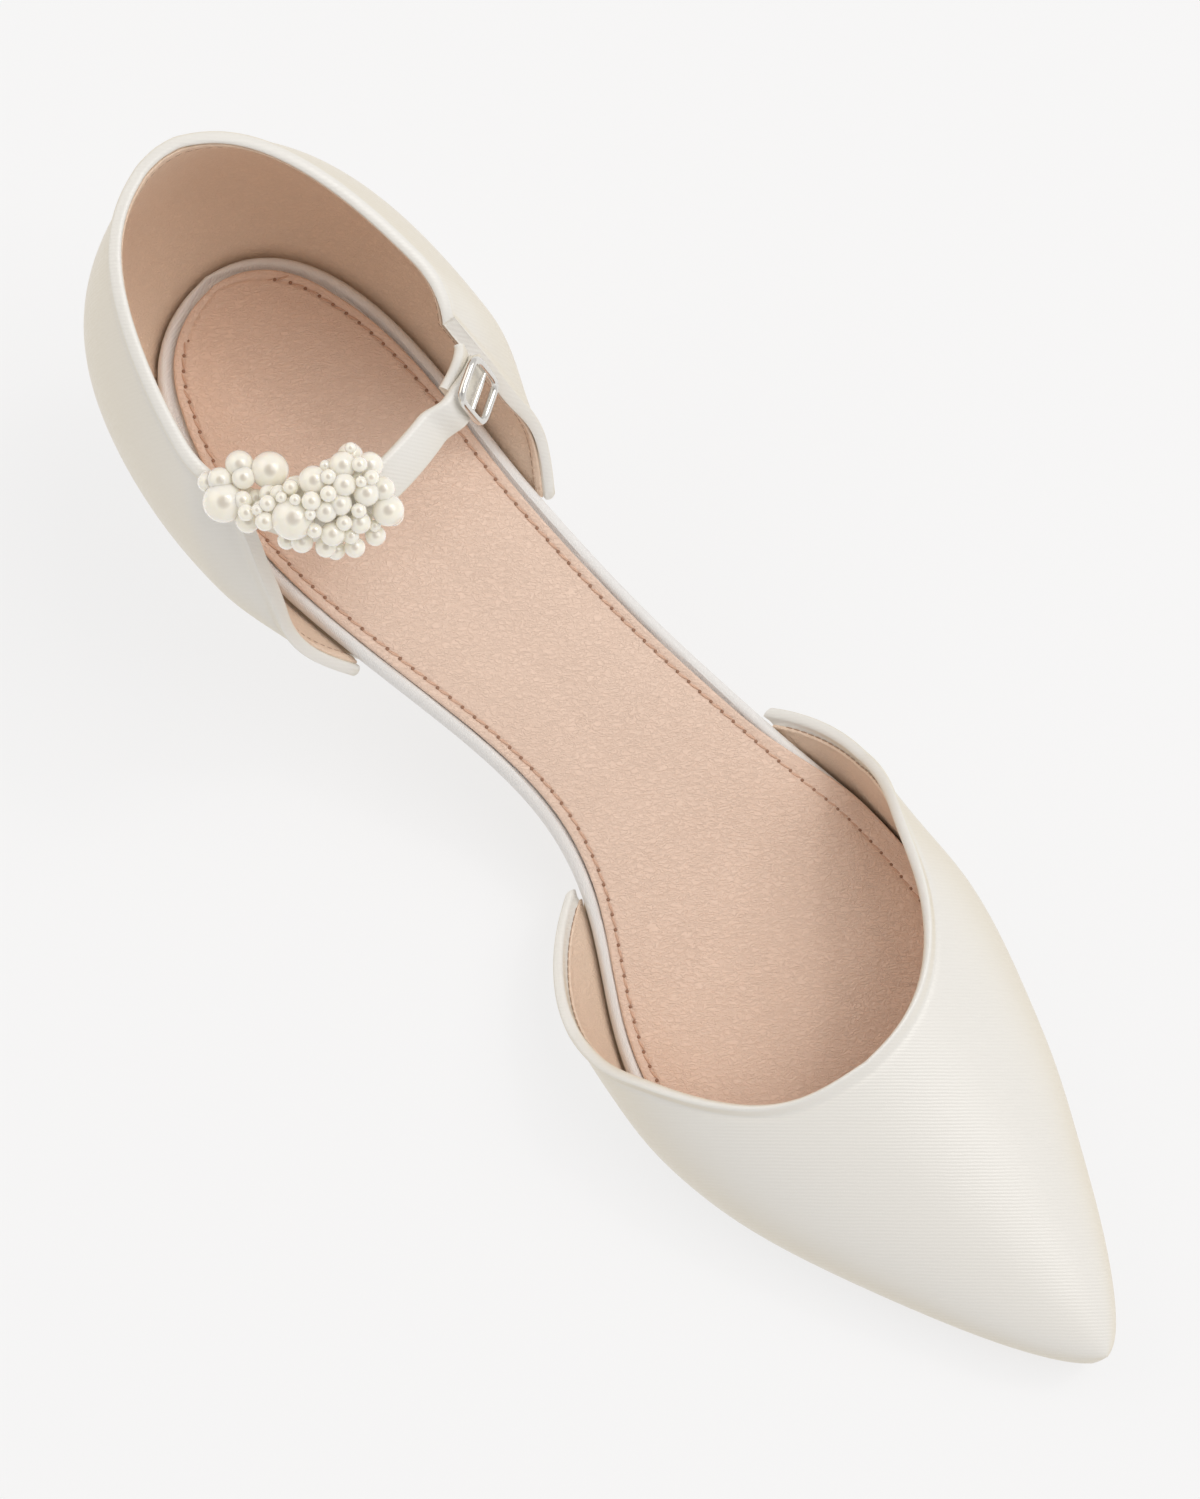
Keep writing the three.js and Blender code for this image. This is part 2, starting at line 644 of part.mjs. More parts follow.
function buckleFrame() {
  const { long, tall, bar, thick, corner } = BUCKLE;
  const outline = roundedOutline(new THREE.Shape(), long, tall, corner);
  outline.holes.push(roundedOutline(
    new THREE.Path(), long - 2 * bar, tall - 2 * bar, corner - bar / 2,
  ));
  const frame = bareGeometry(new THREE.ExtrudeGeometry(outline, {
    depth: thick, bevelEnabled: false, curveSegments: 5,
  }));
  const prong = bareGeometry(
    new THREE.CylinderGeometry(PRONG.radius, PRONG.radius, long - bar, PRONG.sides),
  );
  prong.rotateZ(Math.PI / 2);
  prong.translate(0, 0, thick / 2);
  const buckle = fromManifold(toManifold(frame).add(toManifold(prong)));
  const { place, out, up, ahead } = strapFrame(BUCKLE.angle);
  const lie = STRAP_THICKNESS * 1.5 + 2 * GAP + BUCKLE_REST;
  const turn = new THREE.Matrix4().makeBasis(ahead, up, out);
  turn.setPosition(place.addScaledVector(out, lie));
  return buckle.applyMatrix4(turn);
}

const group = new THREE.Group();

function addPiece(name, geometry, colour, roughness, metalness = 0) {
  const material = new THREE.MeshStandardMaterial({ color: colour, roughness, metalness });
  const mesh = new THREE.Mesh(geometry, material);
  mesh.name = name;
  group.add(mesh);
}

const SATIN = 0xe6e1d4;
const NUDE = 0xe8cbb4;
const SOLE_COLOUR = 0xd9c6ab;

addPiece('outsole', solePiece(
  -OUTSOLE_EDGE_CLOSED, INSOLE_LENGTH + OUTSOLE_EDGE_CLOSED, outsoleEdge, soleBottom, soleTop,
), SOLE_COLOUR, 0.6);
addPiece('insole', solePiece(
  0, INSOLE_LENGTH, insoleHalf, featherZ, (x) => featherZ(x) + INSOLE_THICKNESS,
), SATIN, 0.5);
addPiece('sock', solePiece(
  SOCK_INSET, INSOLE_LENGTH - SOCK_INSET,
  (side, x) => grownOutline(side, x, -SOCK_INSET), sockBottom, (x) => sockBottom(x) + SOCK_THICKNESS,
), NUDE, 0.55);
addPiece('vamp', solidBetween(vampFace(0), vampFace(UPPER_WALL), true), SATIN, 0.5);
addPiece('quarter', solidBetween(quarterFace(0), quarterFace(UPPER_WALL)), SATIN, 0.5);
addPiece('heel', heelBlock(), SATIN, 0.5);
addPiece('top_piece', topPiece(), SOLE_COLOUR, 0.7);
addPiece('ankle_strap', strapBand(
  -STRAP_BASE.angle, TAIL.end, 40, strapSection,
), SATIN, 0.5);
addPiece('strap_tab', strapBand(
  TAB.start, TAB.end, 8, () => bandSection(0),
), SATIN, 0.5);
addPiece('buckle', buckleFrame(), 0xd9d3c7, 0.25, 1);
addPiece('pearl_cluster', pearlBand(), 0xf1ede4, 0.3);

// The shoe's box is centred over the origin
const middle = new THREE.Box3().setFromObject(group).getCenter(new THREE.Vector3());
group.children.forEach((mesh) => mesh.position.set(-middle.x, -middle.y, 0));

export default group;
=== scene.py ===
"""A left court shoe in ivory satin: pointed toe, open waist, kitten heel, and an
ankle strap sewn with pearls. Shapes are worked out in millimetres from the back
of the insole forward, and every piece is then brought into the frame in metres."""
import bisect
import math
import random

import bmesh
import bpy
from mathutils import Matrix, Vector


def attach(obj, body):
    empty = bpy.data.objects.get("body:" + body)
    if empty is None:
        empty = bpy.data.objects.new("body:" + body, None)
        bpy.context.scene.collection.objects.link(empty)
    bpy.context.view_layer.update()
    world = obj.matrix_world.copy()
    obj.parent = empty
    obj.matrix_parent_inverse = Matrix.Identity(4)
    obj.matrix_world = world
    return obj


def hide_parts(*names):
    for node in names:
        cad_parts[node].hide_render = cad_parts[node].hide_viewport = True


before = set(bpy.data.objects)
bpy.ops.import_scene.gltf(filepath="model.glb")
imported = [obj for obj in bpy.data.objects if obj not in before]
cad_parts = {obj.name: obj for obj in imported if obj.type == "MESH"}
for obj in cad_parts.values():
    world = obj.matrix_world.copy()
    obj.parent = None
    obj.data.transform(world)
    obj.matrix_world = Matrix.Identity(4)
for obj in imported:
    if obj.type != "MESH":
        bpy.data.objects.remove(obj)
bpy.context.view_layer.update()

# Where the middle of the shoe's box lies, from the back of the insole
MIDDLE = Vector((123.26, 0.447, 0.0))

LENGTH = 253.0
HALF_BALL = 39.0
HEEL_HEIGHT = 50.5
RIDGE_HEIGHT = 70.0
INSOLE_LENGTH = 250.0
OUTSOLE_THICKNESS = 2.2
INSOLE_THICKNESS = 2.4
SOCK_THICKNESS = 1.2
SEAT_GAP = 0.3
UPPER_WALL = 1.9
FEATHER_EDGE = SEAT_GAP + UPPER_WALL
SOCK_INSET = 2.8
TOP_PIECE_HEIGHT = 5.6
# How far the upper and the insole reach down into the gap above the outsole
HEM_DROP = 0.27
# Between the heel and its neighbours
HEEL_GAP = 0.03

# The outsole against the insole: wider under the vamp and the heel, in at the waist
OUTSOLE_GROWTH = 1.3
OUTSOLE_WAIST_IN = 1.6
WAIST_BLEND = 6

# Satin and lining, the two layers of the upper
SATIN_THICKNESS = 1.3
LINING_START = 1.34
LINING_THICKNESS = 0.54
QUARTER_LINING_IN = 1.5
# The satin's fold: its width, then how the doubled part swells, stands out and draws in
FOLD_WIDTH = 2.5
FOLD_SWELL, FOLD_OUT, FOLD_CREST, FOLD_SPREAD = 0.75, 0.3, 0.6, 1.0
SEAM_DRAWN, SEAM_SPREAD = 0.22, 0.55
LINING_LIP, LIP_SPREAD = 0.22, 0.7

# The sock laps over the rim along the outer side, and is sewn in from its own edge
SOCK_LAP = 2.4
SOCK_LAP_STARTS, SOCK_LAP_ENDS = (119, 147), (195, 215)
SEAM_IN = 1.9
GROOVE_DEEP, GROOVE_SPREAD = 0.28, 0.4
CUSHION_RISE, CUSHION_EDGE, CUSHION_BACK = 0.55, (1.9, 9), (2, 20)
DISH_DEEP, DISH_EDGE = 0.35, (12, 26)
RIM_CORNER, RIM_ROLL, RIM_FLATTENS = 1.3, 0.95, (1.9, 2.75)

# Underside of the sole: place along the shoe, share of the heel height
SOLE_LINE = [
    (-2, 1.0), (30, 0.905), (60, 0.785), (90, 0.54), (120, 0.235), (140, 0.076),
    (152, 0.017), (163, 0), (190, 0), (205, 0.006), (235, 0.044), (253, 0.084),
]

# Edge of the insole: place, medial and lateral shares of half the ball width
INSOLE_OUTLINE = [
    (0, 0, 0), (8, 0.462, 0.385), (25, 0.654, 0.546), (45, 0.7, 0.572),
    (63, 0.64, 0.56), (80, 0.532, 0.59), (98, 0.418, 0.652), (114, 0.382, 0.737),
    (130, 0.487, 0.828), (146, 0.705, 0.918), (160, 0.849, 0.938),
    (172, 0.887, 0.918), (184, 0.862, 0.864), (196, 0.774, 0.767),
    (208, 0.651, 0.654), (220, 0.505, 0.51), (232, 0.344, 0.349),
    (243, 0.172, 0.177), (250, 0, 0),
]

# Forepart of the upper: place, medial and lateral shares of half the ball width where
# it is widest, height of that line, share of the ridge's height, how far the ridge is off
# the middle
FOREPART = [
    (112, 0.72, 1.03, 17, 1.03, -5), (124, 0.785, 1.03, 16, 0.94, -5),
    (136, 0.862, 1.015, 15, 0.855, -4.5), (147, 0.932, 1.002, 14, 0.778, -4),
    (158, 0.969, 1.0, 13, 0.71, -3.4), (170, 0.987, 1.0, 11.8, 0.643, -2.6),
    (182, 0.951, 0.951, 10.6, 0.577, -1.8), (194, 0.872, 0.862, 9.6, 0.508, -1.2),
    (207, 0.741, 0.744, 8.6, 0.44, -0.7), (220, 0.587, 0.59, 7.8, 0.378, -0.4),
    (232, 0.431, 0.436, 6.6, 0.322, -0.2), (242, 0.282, 0.287, 5.6, 0.276, 0),
    (248.5, 0.162, 0.167, 4.6, 0.24, 0), (253, 0, 0, 3.6, 0.19, 0),
]
SWELL_SHARE = 0.28
TIP_BLEND, TIP_TAPER = 8.0, 6

# Top line of the vamp: share of the way round the section, medial and lateral place
VAMP_TOPLINE = [
    (0, 124, 121.5), (0.07, 129, 127.5), (0.16, 136.3, 134), (0.28, 145.8, 141),
    (0.4, 155, 148.5), (0.52, 162.5, 157), (0.62, 170.5, 168), (0.72, 178.5, 177.5),
    (0.82, 183.5, 183.2), (0.92, 185.6, 185.8), (1, 186.4, 186.4),
]

# Quarter: share of the height, how far the wall stands out at back, side and front
QUARTER_HEIGHT = 56.0
QUARTER_SWELL = [
    (0, 0, 0, 0), (0.14, 2, 4.6, 3.8), (0.34, 4, 7.2, 2.4), (0.56, 3.2, 6, 0),
    (0.78, 0.4, 1.6, -2.6), (1, -2.6, -5, -4.4),
]
# Front edge of the quarter: share of the height, medial and lateral place
QUARTER_FRONT = [
    (0, 72, 70), (0.1, 68.2, 66.4), (0.2, 64.6, 63.2), (0.4, 60.6, 59.6),
    (0.6, 57.3, 56.8), (0.8, 54, 54), (0.9, 51.6, 51.6), (1, 49.6, 49.6),
]
FRONT_TUCK = 10.0
# How soon the side's swell takes over from the back's, and its least share
SWELL_POWER, LEAST_SIDEWAYS = 0.8, 0.1
# Top line of the quarter: share of the way to the front edge, share of the height
QUARTER_TOP = [(0, 1.0), (0.35, 0.975), (0.7, 0.885), (1, 0.82)]

# Heel block: share of the way up, back, front, half-width, how far it takes the
# outline of the heel seat
HEEL_CENTRE_Y = -2.0
HEEL_SECTIONS = [
    (0, 14, 27, 6.2, 0), (0.25, 11.8, 27.4, 6.6, 0), (0.5, 8.2, 31, 8.6, 0.06),
    (0.72, 3.9, 38.5, 13.4, 0.3), (0.88, 0.9, 47.5, 19.4, 0.72), (1, -0.6, 57, 24.4, 1),
]
# Powers that shape the heel's loop: its spacing, and how square its front comes out
HEEL_SPACING, HEEL_SQUARE, SEAT_SQUARE = 1.25, 0.45, 0.3
HEEL_COLUMNS, HEEL_ROWS = 72, 44
# Top piece: height, how far its edge is drawn in there
TIP_ROWS = [(0, 0.5), (0.15, 0.2), (0.5, 0.0), (3, 0.0), (5.2, 0.0), (5.6, 0.12)]
HEEL_TIP_X = 20.5

# Ankle strap, in degrees round its arc from straight ahead
STRAP_WIDTH = 8.0
STRAP_THICKNESS = 1.8
STRAP_MIDDLE = (46.8, -2.4)
STRAP_FORWARD = 18.6
STRAP_HALF = 24.1
STRAP_LEAN = -7.0
STRAP_BASE = 68.0
STRAP_BASE_Z = 85.6
STRAP_FRONT_Z = 92.0
STRAP_BASE_TILT = 6.0
STRAP_FRONT_TILT = 34.0
STRAP_SOFT = 0.7
STRAP_STEPS, TAB_STEPS = 90, 24
TAIL_RISE, TAIL_OVER, TAIL_END = 32.0, 41.0, 66.0
TAB_START, TAB_END = 45.0, 69.0
# The strap narrows over the last seventh of its length
POINT_PART = 7
BUCKLE_ANGLE = 50.0
BUCKLE_LONG, BUCKLE_TALL, BUCKLE_WIRE, BUCKLE_CLEAR = 9.5, 12.0, 0.72, 0.9
BUCKLE_SQUARE = 0.42
WIRE_STEPS, WIRE_SIDES = 96, 12
PRONG_RADIUS, PRONG_STEPS, PRONG_SIDES = 0.55, 20, 10

# A millimetre in metres, and how close corners merge, in millimetres
MILLIMETRE, WELD = 0.001, 0.002


def lerp(a, b, t):
    return a + (b - a) * t


def clamp(value, low=0.0, high=1.0):
    return min(high, max(low, value))


def smooth(low, high, value):
    t = clamp((value - low) / (high - low))
    return t * t * (3 - 2 * t)


def hump(place, middle, spread):
    """A soft rise to 1 at the middle."""
    return math.exp(-((place - middle) / spread) ** 2)


def column(table, number):
    """The (place, value) rows of one column of a table."""
    return [(row[0], row[number]) for row in table]


def flowing(rows, spacing=lambda value: value):
    """A natural cubic curve through (place, value) rows."""
    points = sorted((spacing(place), value) for place, value in rows)
    at = [place for place, _ in points]
    to = [value for _, value in points]
    count = len(points)
    bend, work = [0.0] * count, [0.0] * count
    for i in range(1, count - 1):
        before, after = at[i] - at[i - 1], at[i + 1] - at[i]
        part = before / (before + after)
        pivot = part * bend[i - 1] + 2
        turn = (to[i + 1] - to[i]) / after - (to[i] - to[i - 1]) / before
        bend[i] = (part - 1) / pivot
        work[i] = (6 * turn / (before + after) - part * work[i - 1]) / pivot
    for i in range(count - 2, -1, -1):
        bend[i] = bend[i] * bend[i + 1] + work[i]

    def value_at(place):
        s = clamp(spacing(place), at[0], at[-1])
        i = clamp(bisect.bisect_right(at, s) - 1, 0, count - 2)
        span = at[i + 1] - at[i]
        a = (at[i + 1] - s) / span
        b = 1 - a
        cubic = ((a ** 3 - a) * bend[i] + (b ** 3 - b) * bend[i + 1]) * span * span / 6
        return a * to[i] + b * to[i + 1] + cubic

    return value_at


def steady(rows):
    """A curve through (place, value) rows that never passes them, so flats stay flat."""
    at = [row[0] for row in rows]
    to = [row[1] for row in rows]
    last = len(rows) - 1
    slope = [(to[i + 1] - to[i]) / (at[i + 1] - at[i]) for i in range(last)]
    lean = [slope[0]]
    for before, after in zip(slope, slope[1:]):
        same_way = before * after > 0
        lean.append(2 * before * after / (before + after) if same_way else 0.0)
    lean.append(slope[-1])

    def value_at(place):
        x = clamp(place, at[0], at[-1])
        i = clamp(bisect.bisect_right(at, x) - 1, 0, last - 1)
        span = at[i + 1] - at[i]
        t = (x - at[i]) / span
        return (
            (1 + 2 * t) * (1 - t) ** 2 * to[i] + t * (1 - t) ** 2 * span * lean[i]
            + t * t * (3 - 2 * t) * to[i + 1] + t * t * (t - 1) * span * lean[i + 1]
        )

    return value_at


def round_ends(x):
    """Spacing that lets an outline close square to the shoe at both its ends."""
    return math.acos(clamp(1 - 2 * x / INSOLE_LENGTH, -1, 1))


def round_tip(x):
    """Spacing that lets a section close round at the toe."""
    return math.sqrt(max(0.0, LENGTH - x))


sole_rise = steady(SOLE_LINE)
insole_curve = [flowing(column(INSOLE_OUTLINE, side), round_ends) for side in (1, 2)]
forepart_half = [flowing(column(FOREPART, side), round_tip) for side in (1, 2)]
forepart_swell = flowing(column(FOREPART, 3), round_tip)
forepart_ridge = flowing(column(FOREPART, 4), round_tip)
forepart_ridge_y = flowing(column(FOREPART, 5), round_tip)
vamp_edge = [flowing(column(VAMP_TOPLINE, side)) for side in (1, 2)]
quarter_back = flowing(column(QUARTER_SWELL, 1))
quarter_side = flowing(column(QUARTER_SWELL, 2))
quarter_tuck = flowing(column(QUARTER_SWELL, 3))
quarter_front = [flowing(column(QUARTER_FRONT, side)) for side in (1, 2)]
quarter_top = flowing(QUARTER_TOP)
heel_back, heel_front, heel_half, heel_seat = (
    flowing(column(HEEL_SECTIONS, number)) for number in (1, 2, 3, 4)
)

# Sides of the shoe: the inner one first, so a side also picks its table column
MEDIAL, LATERAL = SIDES = 0, 1
SIGN = (-1, 1)


def side_of(across):
    return MEDIAL if across < 0 else LATERAL


def sole_bottom(x):
    return HEEL_HEIGHT * sole_rise(x)


def feather_z(x):
    """Height of the insole's underside and of the upper's lower edge."""
    return sole_bottom(x) + OUTSOLE_THICKNESS + SEAT_GAP


def insole_top(x):
    return feather_z(x) + INSOLE_THICKNESS


def insole_half(side, x):
    return max(0.0, insole_curve[side](x)) * HALF_BALL


def grown_outline(side, x, by):
    """The insole's outline moved out by a distance and kept round at both ends."""
    stretch = (INSOLE_LENGTH + 2 * by) / INSOLE_LENGTH
    room = min(x + by, INSOLE_LENGTH + by - x)
    end_length = abs(by) * 4 + 4
    return insole_half(side, (x + by) / stretch) + by * math.sqrt(clamp(room / end_length))


def outsole_half(side, x):
    horn = vamp_edge[side](0)
    heel = QUARTER_FRONT[0][side + 1]
    closed = max(
        smooth(horn, horn + WAIST_BLEND, x), 1 - smooth(heel - WAIST_BLEND, heel + 1, x)
    )
    waist = grown_outline(side, x, -OUTSOLE_WAIST_IN)
    return lerp(waist, grown_outline(side, x, OUTSOLE_GROWTH), closed)


def sock_lap(side, x):
    reach = smooth(*SOCK_LAP_STARTS, x) * (1 - smooth(*SOCK_LAP_ENDS, x))
    return SOCK_LAP * reach if side == LATERAL else 0.0


def sock_half(side, x):
    return grown_outline(side, x, -SOCK_INSET) + sock_lap(side, x)


def forepart_point(side, x, turned, inward):
    """On the vamp's section at x: turned goes from its lower edge (0) to the ridge (1),
    inward from the outer face into the shoe."""
    nose = clamp((x - (LENGTH - inward - TIP_BLEND)) / TIP_BLEND) ** 2
    stretched = x + inward * nose
    wide = max(0.0, forepart_half[side](stretched) * HALF_BALL - inward * (1 - nose))
    foot = insole_half(side, min(x, INSOLE_LENGTH)) + FEATHER_EDGE - inward
    taper = clamp((LENGTH - stretched) / TIP_TAPER)
    feather = lerp(wide, min(foot, wide), math.sqrt(taper))
    low = feather_z(x)
    swell = forepart_swell(stretched)
    ridge = forepart_ridge(stretched) * RIDGE_HEIGHT - inward
    if turned < SWELL_SHARE:
        t = turned / SWELL_SHARE
        y = wide - (wide - feather) * (1 - t) ** 2
        return Vector((x, SIGN[side] * y, low + swell * t))
    arc = (turned - SWELL_SHARE) / (1 - SWELL_SHARE) * math.pi / 2
    y = lerp(forepart_ridge_y(stretched), SIGN[side] * wide, math.cos(arc))
    return Vector((x, y, lerp(low + swell, ridge, math.sin(arc))))


def vamp_setback(side, turned):
    """How far along the shoe one millimetre square to the top line reaches."""
    step, ahead_by, longest, shortest_square = 0.02, 0.5, 3.0, 0.05
    low, high = max(0.0, turned - step), min(1.0, turned + step)
    line = forepart_point(side, vamp_edge[side](high), high, 0) - forepart_point(
        side, vamp_edge[side](low), low, 0
    )
    line.normalize()
    x = vamp_edge[side](turned)
    ahead = forepart_point(side, x + ahead_by, turned, 0) - forepart_point(side, x, turned, 0)
    ahead /= ahead_by
    square = ahead - line * ahead.dot(line)
    return min(longest, 1 / max(square.length, shortest_square))


SETBACK_STEPS = 40
setback_rows = [
    flowing([
        (t / SETBACK_STEPS, vamp_setback(side, t / SETBACK_STEPS))
        for t in range(SETBACK_STEPS + 1)
    ]) for side in SIDES
]


def turned_edge(inward, from_fold):
    """The satin is doubled where it folds over and drawn in along its seam, and the
    lining ends in a small raised lip."""
    if inward >= LINING_START:
        share = clamp((inward - LINING_START) / LINING_THICKNESS)
        return inward + share * LINING_LIP * hump(from_fold, FOLD_WIDTH, LIP_SPREAD)
    swell = hump(from_fold, FOLD_CREST, FOLD_SPREAD)
    drawn = hump(from_fold, FOLD_WIDTH, SEAM_SPREAD)
    middle = SATIN_THICKNESS / 2
    swollen = middle + (inward - middle) * (1 + FOLD_SWELL * swell)
    return swollen - FOLD_OUT * swell + SEAM_DRAWN * drawn


def vamp_face(from_edge):
    """A face of the vamp that starts a distance in from the top line."""
    def place(across, along, inward):
        side = side_of(across)
        turned = 1 - min(1.0, abs(across))
        tip = LENGTH - inward
        edge, setback = vamp_edge[side](turned), setback_rows[side](turned)
        reach = math.sqrt(tip - edge - from_edge * setback) * (1 - along)
        x = tip - reach * reach
        return forepart_point(side, x, turned, turned_edge(inward, (x - edge) / setback))
    return place


def quarter_face(from_top, from_front):
    """A face of the quarter: across runs from front edge to front edge."""
    def place(across, along, inward):
        side = side_of(across)
        turned = min(1.0, abs(across))
        up = 1 - along
        height = up * (quarter_top(turned) - from_top / QUARTER_HEIGHT)
        edge = quarter_front[side](height / quarter_top(turned))
        front = edge - from_front
        x = front * (1 - math.cos(math.pi * turned)) / 2
        from_fold = min((quarter_top(turned) - height) * QUARTER_HEIGHT, edge - x)
        behind, ahead = max(0, x - 0.5), x + 0.5
        out = Vector((insole_half(side, behind) - insole_half(side, ahead), min(ahead, 1.0)))
        out = Vector((-1, 0)) if turned == 0 else out.normalized()
        sideways = max(LEAST_SIDEWAYS, abs(out.y)) ** SWELL_POWER
        body = lerp(quarter_back(height), quarter_side(height), sideways)
        tuck = clamp((x - front + FRONT_TUCK) / FRONT_TUCK) ** 2
        stands = FEATHER_EDGE + lerp(body, quarter_tuck(height), tuck)
        by = stands - turned_edge(inward, from_fold)
        y = SIGN[side] * (insole_half(side, x) + out.y * by)
        return Vector((x + out.x * by, y, feather_z(x) + height * QUARTER_HEIGHT))
    return place


def strap_lift(angle):
    """0 where the strap leaves the quarter, 1 straight ahead."""
    base = math.cos(math.radians(STRAP_BASE))
    return clamp((math.cos(math.radians(angle)) - base) / (1 - base))


def strap_place(angle):
    a = math.radians(angle)
    return Vector((
        STRAP_MIDDLE[0] + STRAP_FORWARD * math.cos(a),
        STRAP_MIDDLE[1] + STRAP_HALF * math.sin(a) + STRAP_LEAN * strap_lift(angle) ** 2,
        lerp(STRAP_BASE_Z, STRAP_FRONT_Z, strap_lift(angle)),
    ))


def strap_frame(angle):
    """Middle of the strap at an angle, with its outward, upward and ahead directions."""
    along = strap_place(angle + 0.5) - strap_place(angle - 0.5)
    flat = Vector((along.y, -along.x, 0)).normalized()
    tilt = math.radians(lerp(STRAP_BASE_TILT, STRAP_FRONT_TILT, strap_lift(angle)))
    up = Vector((0, 0, math.cos(tilt))) - flat * math.sin(tilt)
    out = flat * math.cos(tilt) + Vector((0, 0, math.sin(tilt)))
    return strap_place(angle), out, up, up.cross(out)


def grid_moved(bm, columns, rows, place):
    """Adds a grid and moves each of its corners to place(column, row)."""
    made = bmesh.ops.create_grid(bm, x_segments=columns, y_segments=rows, size=1.0)
    for v in made["verts"]:
        i = round((v.co.x + 1) / 2 * columns)
        j = round((v.co.y + 1) / 2 * rows)
        v.co = place(i, j)


def mesh_from(name, bm):
    mesh = bpy.data.meshes.new(name)
    bm.to_mesh(mesh)
    bm.free()
    return mesh


def placed(name, data):
    """A new object in the scene."""
    made = bpy.data.objects.new(name, data)
    bpy.context.scene.collection.objects.link(made)
    return made


def piece(name, bm, material, replaces=(), weld=WELD):
    """Welds a mesh in millimetres, brings it into the frame and makes it a piece."""
    if weld:
        bmesh.ops.remove_doubles(bm, verts=bm.verts, dist=weld)
        bmesh.ops.dissolve_degenerate(bm, edges=bm.edges, dist=weld / 2)
        bmesh.ops.recalc_face_normals(bm, faces=bm.faces)
    bmesh.ops.translate(bm, verts=bm.verts, vec=-MIDDLE)
    bmesh.ops.scale(bm, verts=bm.verts, vec=[MILLIMETRE] * 3)
    for f in bm.faces:
        f.smooth = True
    mesh = mesh_from(name, bm)
    mesh.materials.append(material)
    mesh.set_sharp_from_angle(angle=math.radians(40))
    made = placed(name, mesh)
    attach(made, "root")
    if replaces:
        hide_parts(*replaces)


def wall(face, start, thick, columns, rows, sides_free):
    """A closed wall of two faces with a rounded free edge. The sides are free edges
    too on the quarter, and hems that sit on the sole on the vamp, whose rows meet at
    its tip."""
    radius = thick / 2
    turns, folds, gather, near_side = 4, 8, 1.9, 0.97
    opening = [90 - 90 * i / turns for i in range(turns)]
    across = [-1.0] * turns + [2 * i / columns - 1 for i in range(columns + 1)] + [1.0] * turns
    edge_turn = opening + [0] * (columns + 1) + opening[::-1]
    closer = [(j / rows) ** gather for j in range(rows + 1)]
    along = closer[::-1] + [0.0] * (folds - 1) + closer
    fold_turn = [0] * (rows + 1) + [180 * j / folds for j in range(1, folds)]
    fold_turn += [180] * (rows + 1)
    hem_turn = [0] * len(along)
    if sides_free:
        along = [1.0] * turns + along + [1.0] * turns
        fold_turn = [0] * turns + fold_turn + [180] * turns
        hem_turn = opening + hem_turn + opening[::-1]

    def away(a, b, inward):
        """The way out past the free edge, square to it."""
        step = 0.02
        here = face(a, b, inward)
        if abs(a) < near_side:
            line = face(a + step, b, inward) - face(a - step, b, inward)
        else:
            line = here - face(a * 0.98, b, inward)
        line.normalize()
        out = here - face(a, b + step, inward)
        out -= line * out.dot(line)
        return out.normalized()

    crest = {}

    def corner(i, j):
        fold, edge, hem = (math.radians(t) for t in (fold_turn[j], edge_turn[i], hem_turn[j]))
        deep = radius * (1 - math.cos(fold))
        deep = lerp(radius, deep, math.cos(edge) * math.cos(hem))
        point = face(across[i], along[j], start + deep)
        if fold_turn[j] not in (0, 180):
            if i not in crest:
                crest[i] = away(across[i], 0.0, start + radius)
            point = point + crest[i] * (radius * math.sin(fold) * math.cos(edge))
        if edge_turn[i]:
            if sides_free:
                inner = face(across[i] * near_side, along[j], start + deep)
                point = point + (point - inner).normalized() * radius * math.sin(edge)
            else:
                point.z -= HEM_DROP * math.sin(edge)
        point.z -= HEM_DROP * math.sin(hem)
        return point

    bm = bmesh.new()
    grid_moved(bm, len(across) - 1, len(along) - 1, corner)
    return bm


def plate(half, first, last, low, high, corner, columns, stations, shape=None):
    """A flat-laid closed piece on the sole line, its edge rounded over by corner.
    shape(x, inside, side) may add to the height of its top. The columns gather
    towards the edges."""
    count, under, top_gather, under_gather, step = columns // 2, 6, 2.2, 1.6, 0.4
    spread = [1 - (1 - k / count) ** top_gather for k in range(count + 1)]
    top = [(-1, s) for s in spread[::-1]] + [(1, s) for s in spread[1:]]
    bottom = [(1, 1 - (k / under) ** under_gather) for k in range(1, under + 1)]
    bottom += [(-1, (k / under) ** under_gather) for k in range(1, under + 1)]
    ring = [(sign, s, True) for sign, s in top] + [(sign, s, False) for sign, s in bottom]
    cache = {}

    def station(i):
        if i not in cache:
            x = lerp(first, last, (1 - math.cos(math.pi * i / stations)) / 2)
            ahead, behind = min(last, x + step), max(first, x - step)
            halves = [half(side, x) for side in SIDES]
            slopes = [
                (half(side, ahead) - half(side, behind)) / (2 * step) for side in SIDES
            ]
            cache[i] = x, halves, slopes, low(x), high(x)
        return cache[i]

    def corner_at(i, j):
        x, halves, slopes, z_low, z_high = station(i)
        sign, share, upper = ring[j % len(ring)]
        side = side_of(sign)
        width = max(0.0, halves[side])
        y = sign * width * share
        inside = (width - abs(y)) / math.hypot(1, slopes[side])
        thick = z_high - z_low
        soft = min(corner, thick / 2)
        drop = soft - math.sqrt(max(0.0, soft ** 2 - max(0.0, soft - inside) ** 2))
        if not upper:
            return Vector((x, y, z_low + drop))
        extra = shape(x, inside, side) if shape else 0.0
        return Vector((x, y, z_high - drop + extra))

    bm = bmesh.new()
    grid_moved(bm, stations, len(ring), corner_at)
    return bm


